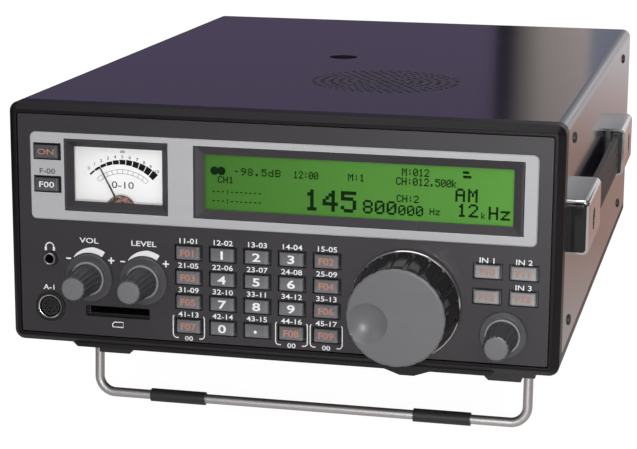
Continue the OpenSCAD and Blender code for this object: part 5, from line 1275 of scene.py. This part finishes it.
def photo_camera():
    """Camera at the photograph's angle, given in the case's frame."""
    azimuth, elevation = math.radians(CAMERA_AZIMUTH), math.radians(CAMERA_ELEVATION)
    back = Vector((math.sin(azimuth) * math.cos(elevation), -math.cos(azimuth) * math.cos(elevation),
                   math.sin(elevation)))
    right = Vector((0, 0, 1)).cross(back).normalized()
    up = back.cross(right)
    turn = Matrix((right, up, back)).transposed().to_4x4()
    stand = Matrix.Translation(Vector(CAMERA_TARGET) + back * CAMERA_DISTANCE)
    pose = CASE @ stand @ turn @ Matrix.Rotation(math.radians(CAMERA_ROLL), 4, "Z")
    data = bpy.data.cameras.new("photo_camera")
    data.sensor_width = SENSOR_W
    data.lens = FOCAL_PIXELS * SENSOR_W / IMAGE_W
    data.clip_end = 50.0
    camera = bpy.data.objects.new("photo_camera", data)
    location, rotation, _ = pose.decompose()
    camera.location = location
    camera.rotation_mode = "QUATERNION"
    camera.rotation_quaternion = rotation
    bpy.context.scene.collection.objects.link(camera)
    bpy.context.scene.camera = camera


# Name, place, aim, size in metres and power of each lamp
LAMPS = [
    ("key_box", (0.9, -1.6, 1.5), (0.0, -0.1, 0.05), (1.4, 1.4), 15.0),
    ("flash", (0.12, -0.95, 0.22), (0.0, 0.0, 0.06), (0.06, 0.05), 3.0),
    ("fill_box", (-1.5, -1.4, 1.0), (0.0, -0.1, 0.05), (1.2, 1.2), 5.0),
    ("top_box", (0.0, 0.3, 2.0), (0.0, 0.0, 0.0), (1.6, 1.6), 14.0),
]


def soft_box(name, stand, aim, size, power):
    """Oblong studio light aimed at a point."""
    data = bpy.data.lights.new(name, "AREA")
    data.shape = "RECTANGLE"
    data.size, data.size_y = size
    data.energy = power
    light = bpy.data.objects.new(name, data)
    light.location = stand
    light.rotation_euler = (Vector(aim) - Vector(stand)).to_track_quat("-Z", "Y").to_euler()
    bpy.context.scene.collection.objects.link(light)


FLOOR_HALF = 6.0
# How bright the floor looks, and how much of what is looked at comes from that
FLOOR_WHITE = (1.22, 1.22, 1.22, 1.0)
FLOOR_OWN_SHARE = 0.8
# The floor as glossy pieces mirror it, by its place in metres from front to back
FLOOR_BANDS = [
    (-0.5, (0.6, 0.6, 0.6, 1.0)), (-0.25, (0.6, 0.57, 0.55, 1.0)), (-0.08, (0.6, 0.57, 0.55, 1.0)),
    (0.14, (0.43, 0.29, 0.25, 1.0)), (0.3, (0.43, 0.29, 0.25, 1.0)), (0.62, (0.79, 0.75, 0.78, 1.0)),
]
# Where that image of it fades out to the left
FLOOR_FADE_END, FLOOR_FADE_START, FLOOR_FADED = -0.4, 0.0, 0.06


def pale_floor():
    """Plain white floor that keeps a soft shadow."""
    mesh = bpy.data.meshes.new("studio_floor")
    corners = [(-1, -1), (1, -1), (1, 1), (-1, 1)]
    mesh.from_pydata([(x * FLOOR_HALF, y * FLOOR_HALF, 0) for x, y in corners], [], [(0, 1, 2, 3)])
    floor = bpy.data.objects.new("studio_floor", mesh)
    bpy.context.scene.collection.objects.link(floor)
    material, tree, surface, coords = blank_material("pale_floor")
    tree.links.new(span(tree, noise(tree, coords, 3.0, 2.0), 0.48, 0.52), surface.inputs["Base Color"])
    surface.inputs["Roughness"].default_value = 0.9
    surface.inputs["Specular IOR Level"].default_value = 0.0
    path = place(tree, "ShaderNodeLightPath").outputs
    spot = axes(tree, coords)
    fade = carried(tree, spot["X"], FLOOR_FADE_END, FLOOR_FADE_START, FLOOR_FADED, 1.0)
    mirrored = tinted(tree, banded(tree, spot["Y"], FLOOR_BANDS), fade)
    shown = mixed(tree, path["Is Glossy Ray"], FLOOR_WHITE, mirrored)
    glow = place(tree, "ShaderNodeEmission", {"Color": shown})
    looked = maths(tree, "MAXIMUM", path["Is Camera Ray"], path["Is Transmission Ray"])
    share = maths(tree, "MAXIMUM", maths(tree, "MULTIPLY", looked, FLOOR_OWN_SHARE), path["Is Glossy Ray"])
    joined = place(tree, "ShaderNodeMixShader", {0: share, 1: surface.outputs[0], 2: glow.outputs[0]})
    tree.links.new(joined.outputs[0], tree.nodes["Material Output"].inputs["Surface"])
    paint(floor, material)


# Bands of the room, by heading to the right of straight back
ROOM_BANDS = [
    (-0.45, (0.05, 0.045, 0.06, 1.0)), (-0.41, (0.115, 0.09, 0.155, 1.0)),
    (-0.14, (0.115, 0.09, 0.155, 1.0)), (-0.1365, (0.0, 0.0, 0.0, 1.0)), (-0.13, (0.01, 0.01, 0.01, 1.0)),
    (-0.128, (0.08, 0.07, 0.06, 1.0)), (-0.1143, (0.4, 0.36, 0.33, 1.0)),
    (-0.0925, (0.54, 0.46, 0.43, 1.0)), (-0.0915, (0.26, 0.29, 0.37, 1.0)),
    (-0.0768, (0.24, 0.25, 0.31, 1.0)), (0.05, (0.5, 0.5, 0.52, 1.0)), (0.15, (1.1, 1.1, 1.12, 1.0)),
    (0.225, (0.6, 0.6, 0.6, 1.0)), (0.3, (0.08, 0.08, 0.09, 1.0)),
]
ROOM_OVERHEAD = (0.3, 0.3, 0.32, 1.0)
OVERHEAD_START, OVERHEAD_END = 0.3, 0.8
# Least way straight back by which a heading is measured
HEADING_LEAST = 0.05


def surround():
    """The room: dark near the horizon, pale bands behind at the right, soft light overhead."""
    world = bpy.data.worlds.new("studio_surround")
    world.use_nodes = True
    tree = world.node_tree
    way = axes(tree, place(tree, "ShaderNodeTexCoord").outputs["Generated"])
    heading = maths(tree, "DIVIDE", way["X"], maths(tree, "MAXIMUM", way["Y"], HEADING_LEAST))
    rise = carried(tree, way["Z"], OVERHEAD_START, OVERHEAD_END)
    colour = mixed(tree, rise, banded(tree, heading, ROOM_BANDS), ROOM_OVERHEAD)
    tree.links.new(colour, tree.nodes["Background"].inputs["Color"])
    bpy.context.scene.world = world


def studio():
    """Soft light: a large box high at the right, a weak one at the left, one overhead and a small flash."""
    bpy.context.scene.view_settings.view_transform = "Standard"
    surround()
    for lamp in LAMPS:
        soft_box(*lamp)
    pale_floor()
    photo_camera()


def dress():
    """Finishes for the solids that stay, and finer pieces in the place of the rest."""
    for node, material in NODE_FINISH.items():
        paint(NODES[node], material)
    softened("front_frame", 0.25, FRAME_BLACK, LIP_BLACK, chosen=lambda at, way: at.z < 0)
    softened("front_panel", 0.2, PANEL_GREY)
    softened("display_plate", 0.25, PLATE_SILVER)
    softened("meter_case", 0.2, BEZEL_BLACK)
    softened("lcd_mask", 0.2, BEZEL_BLACK)
    softened("card_socket", 0.2, SOCKET_BLACK)
    handle_caps()
    softened("handle_strap", 0.3, STRAP_RUBBER)
    softened("feet", 0.4, FOOT_BLACK)
    main_dial()
    skirted_knob("sub_dial", "sub_dial_spin", "sub_dial_unit")
    skirted_knob("volume_knob", "volume_turn", "volume_unit")
    skirted_knob("squelch_knob", "squelch_turn", "squelch_unit")
    keys()
    key_wells()
    panel_legends()
    meter_face()
    display_characters()
    socket_trim("phones_rim", "phones_jack", PHONES_RIM, 48)
    socket_trim("accessory_shell", "accessory_socket", ACCESSORY_SHELL, 64)
    window_panes()
    grille_rims()
    # Hole walls and the screw recess of the top cover take black as painted shade
    softened("top_cover", 0, COVER_VIOLET, SPEAKER_BLACK_AND_PAINTED_SHADE, chosen=in_shade)


dress()
studio()
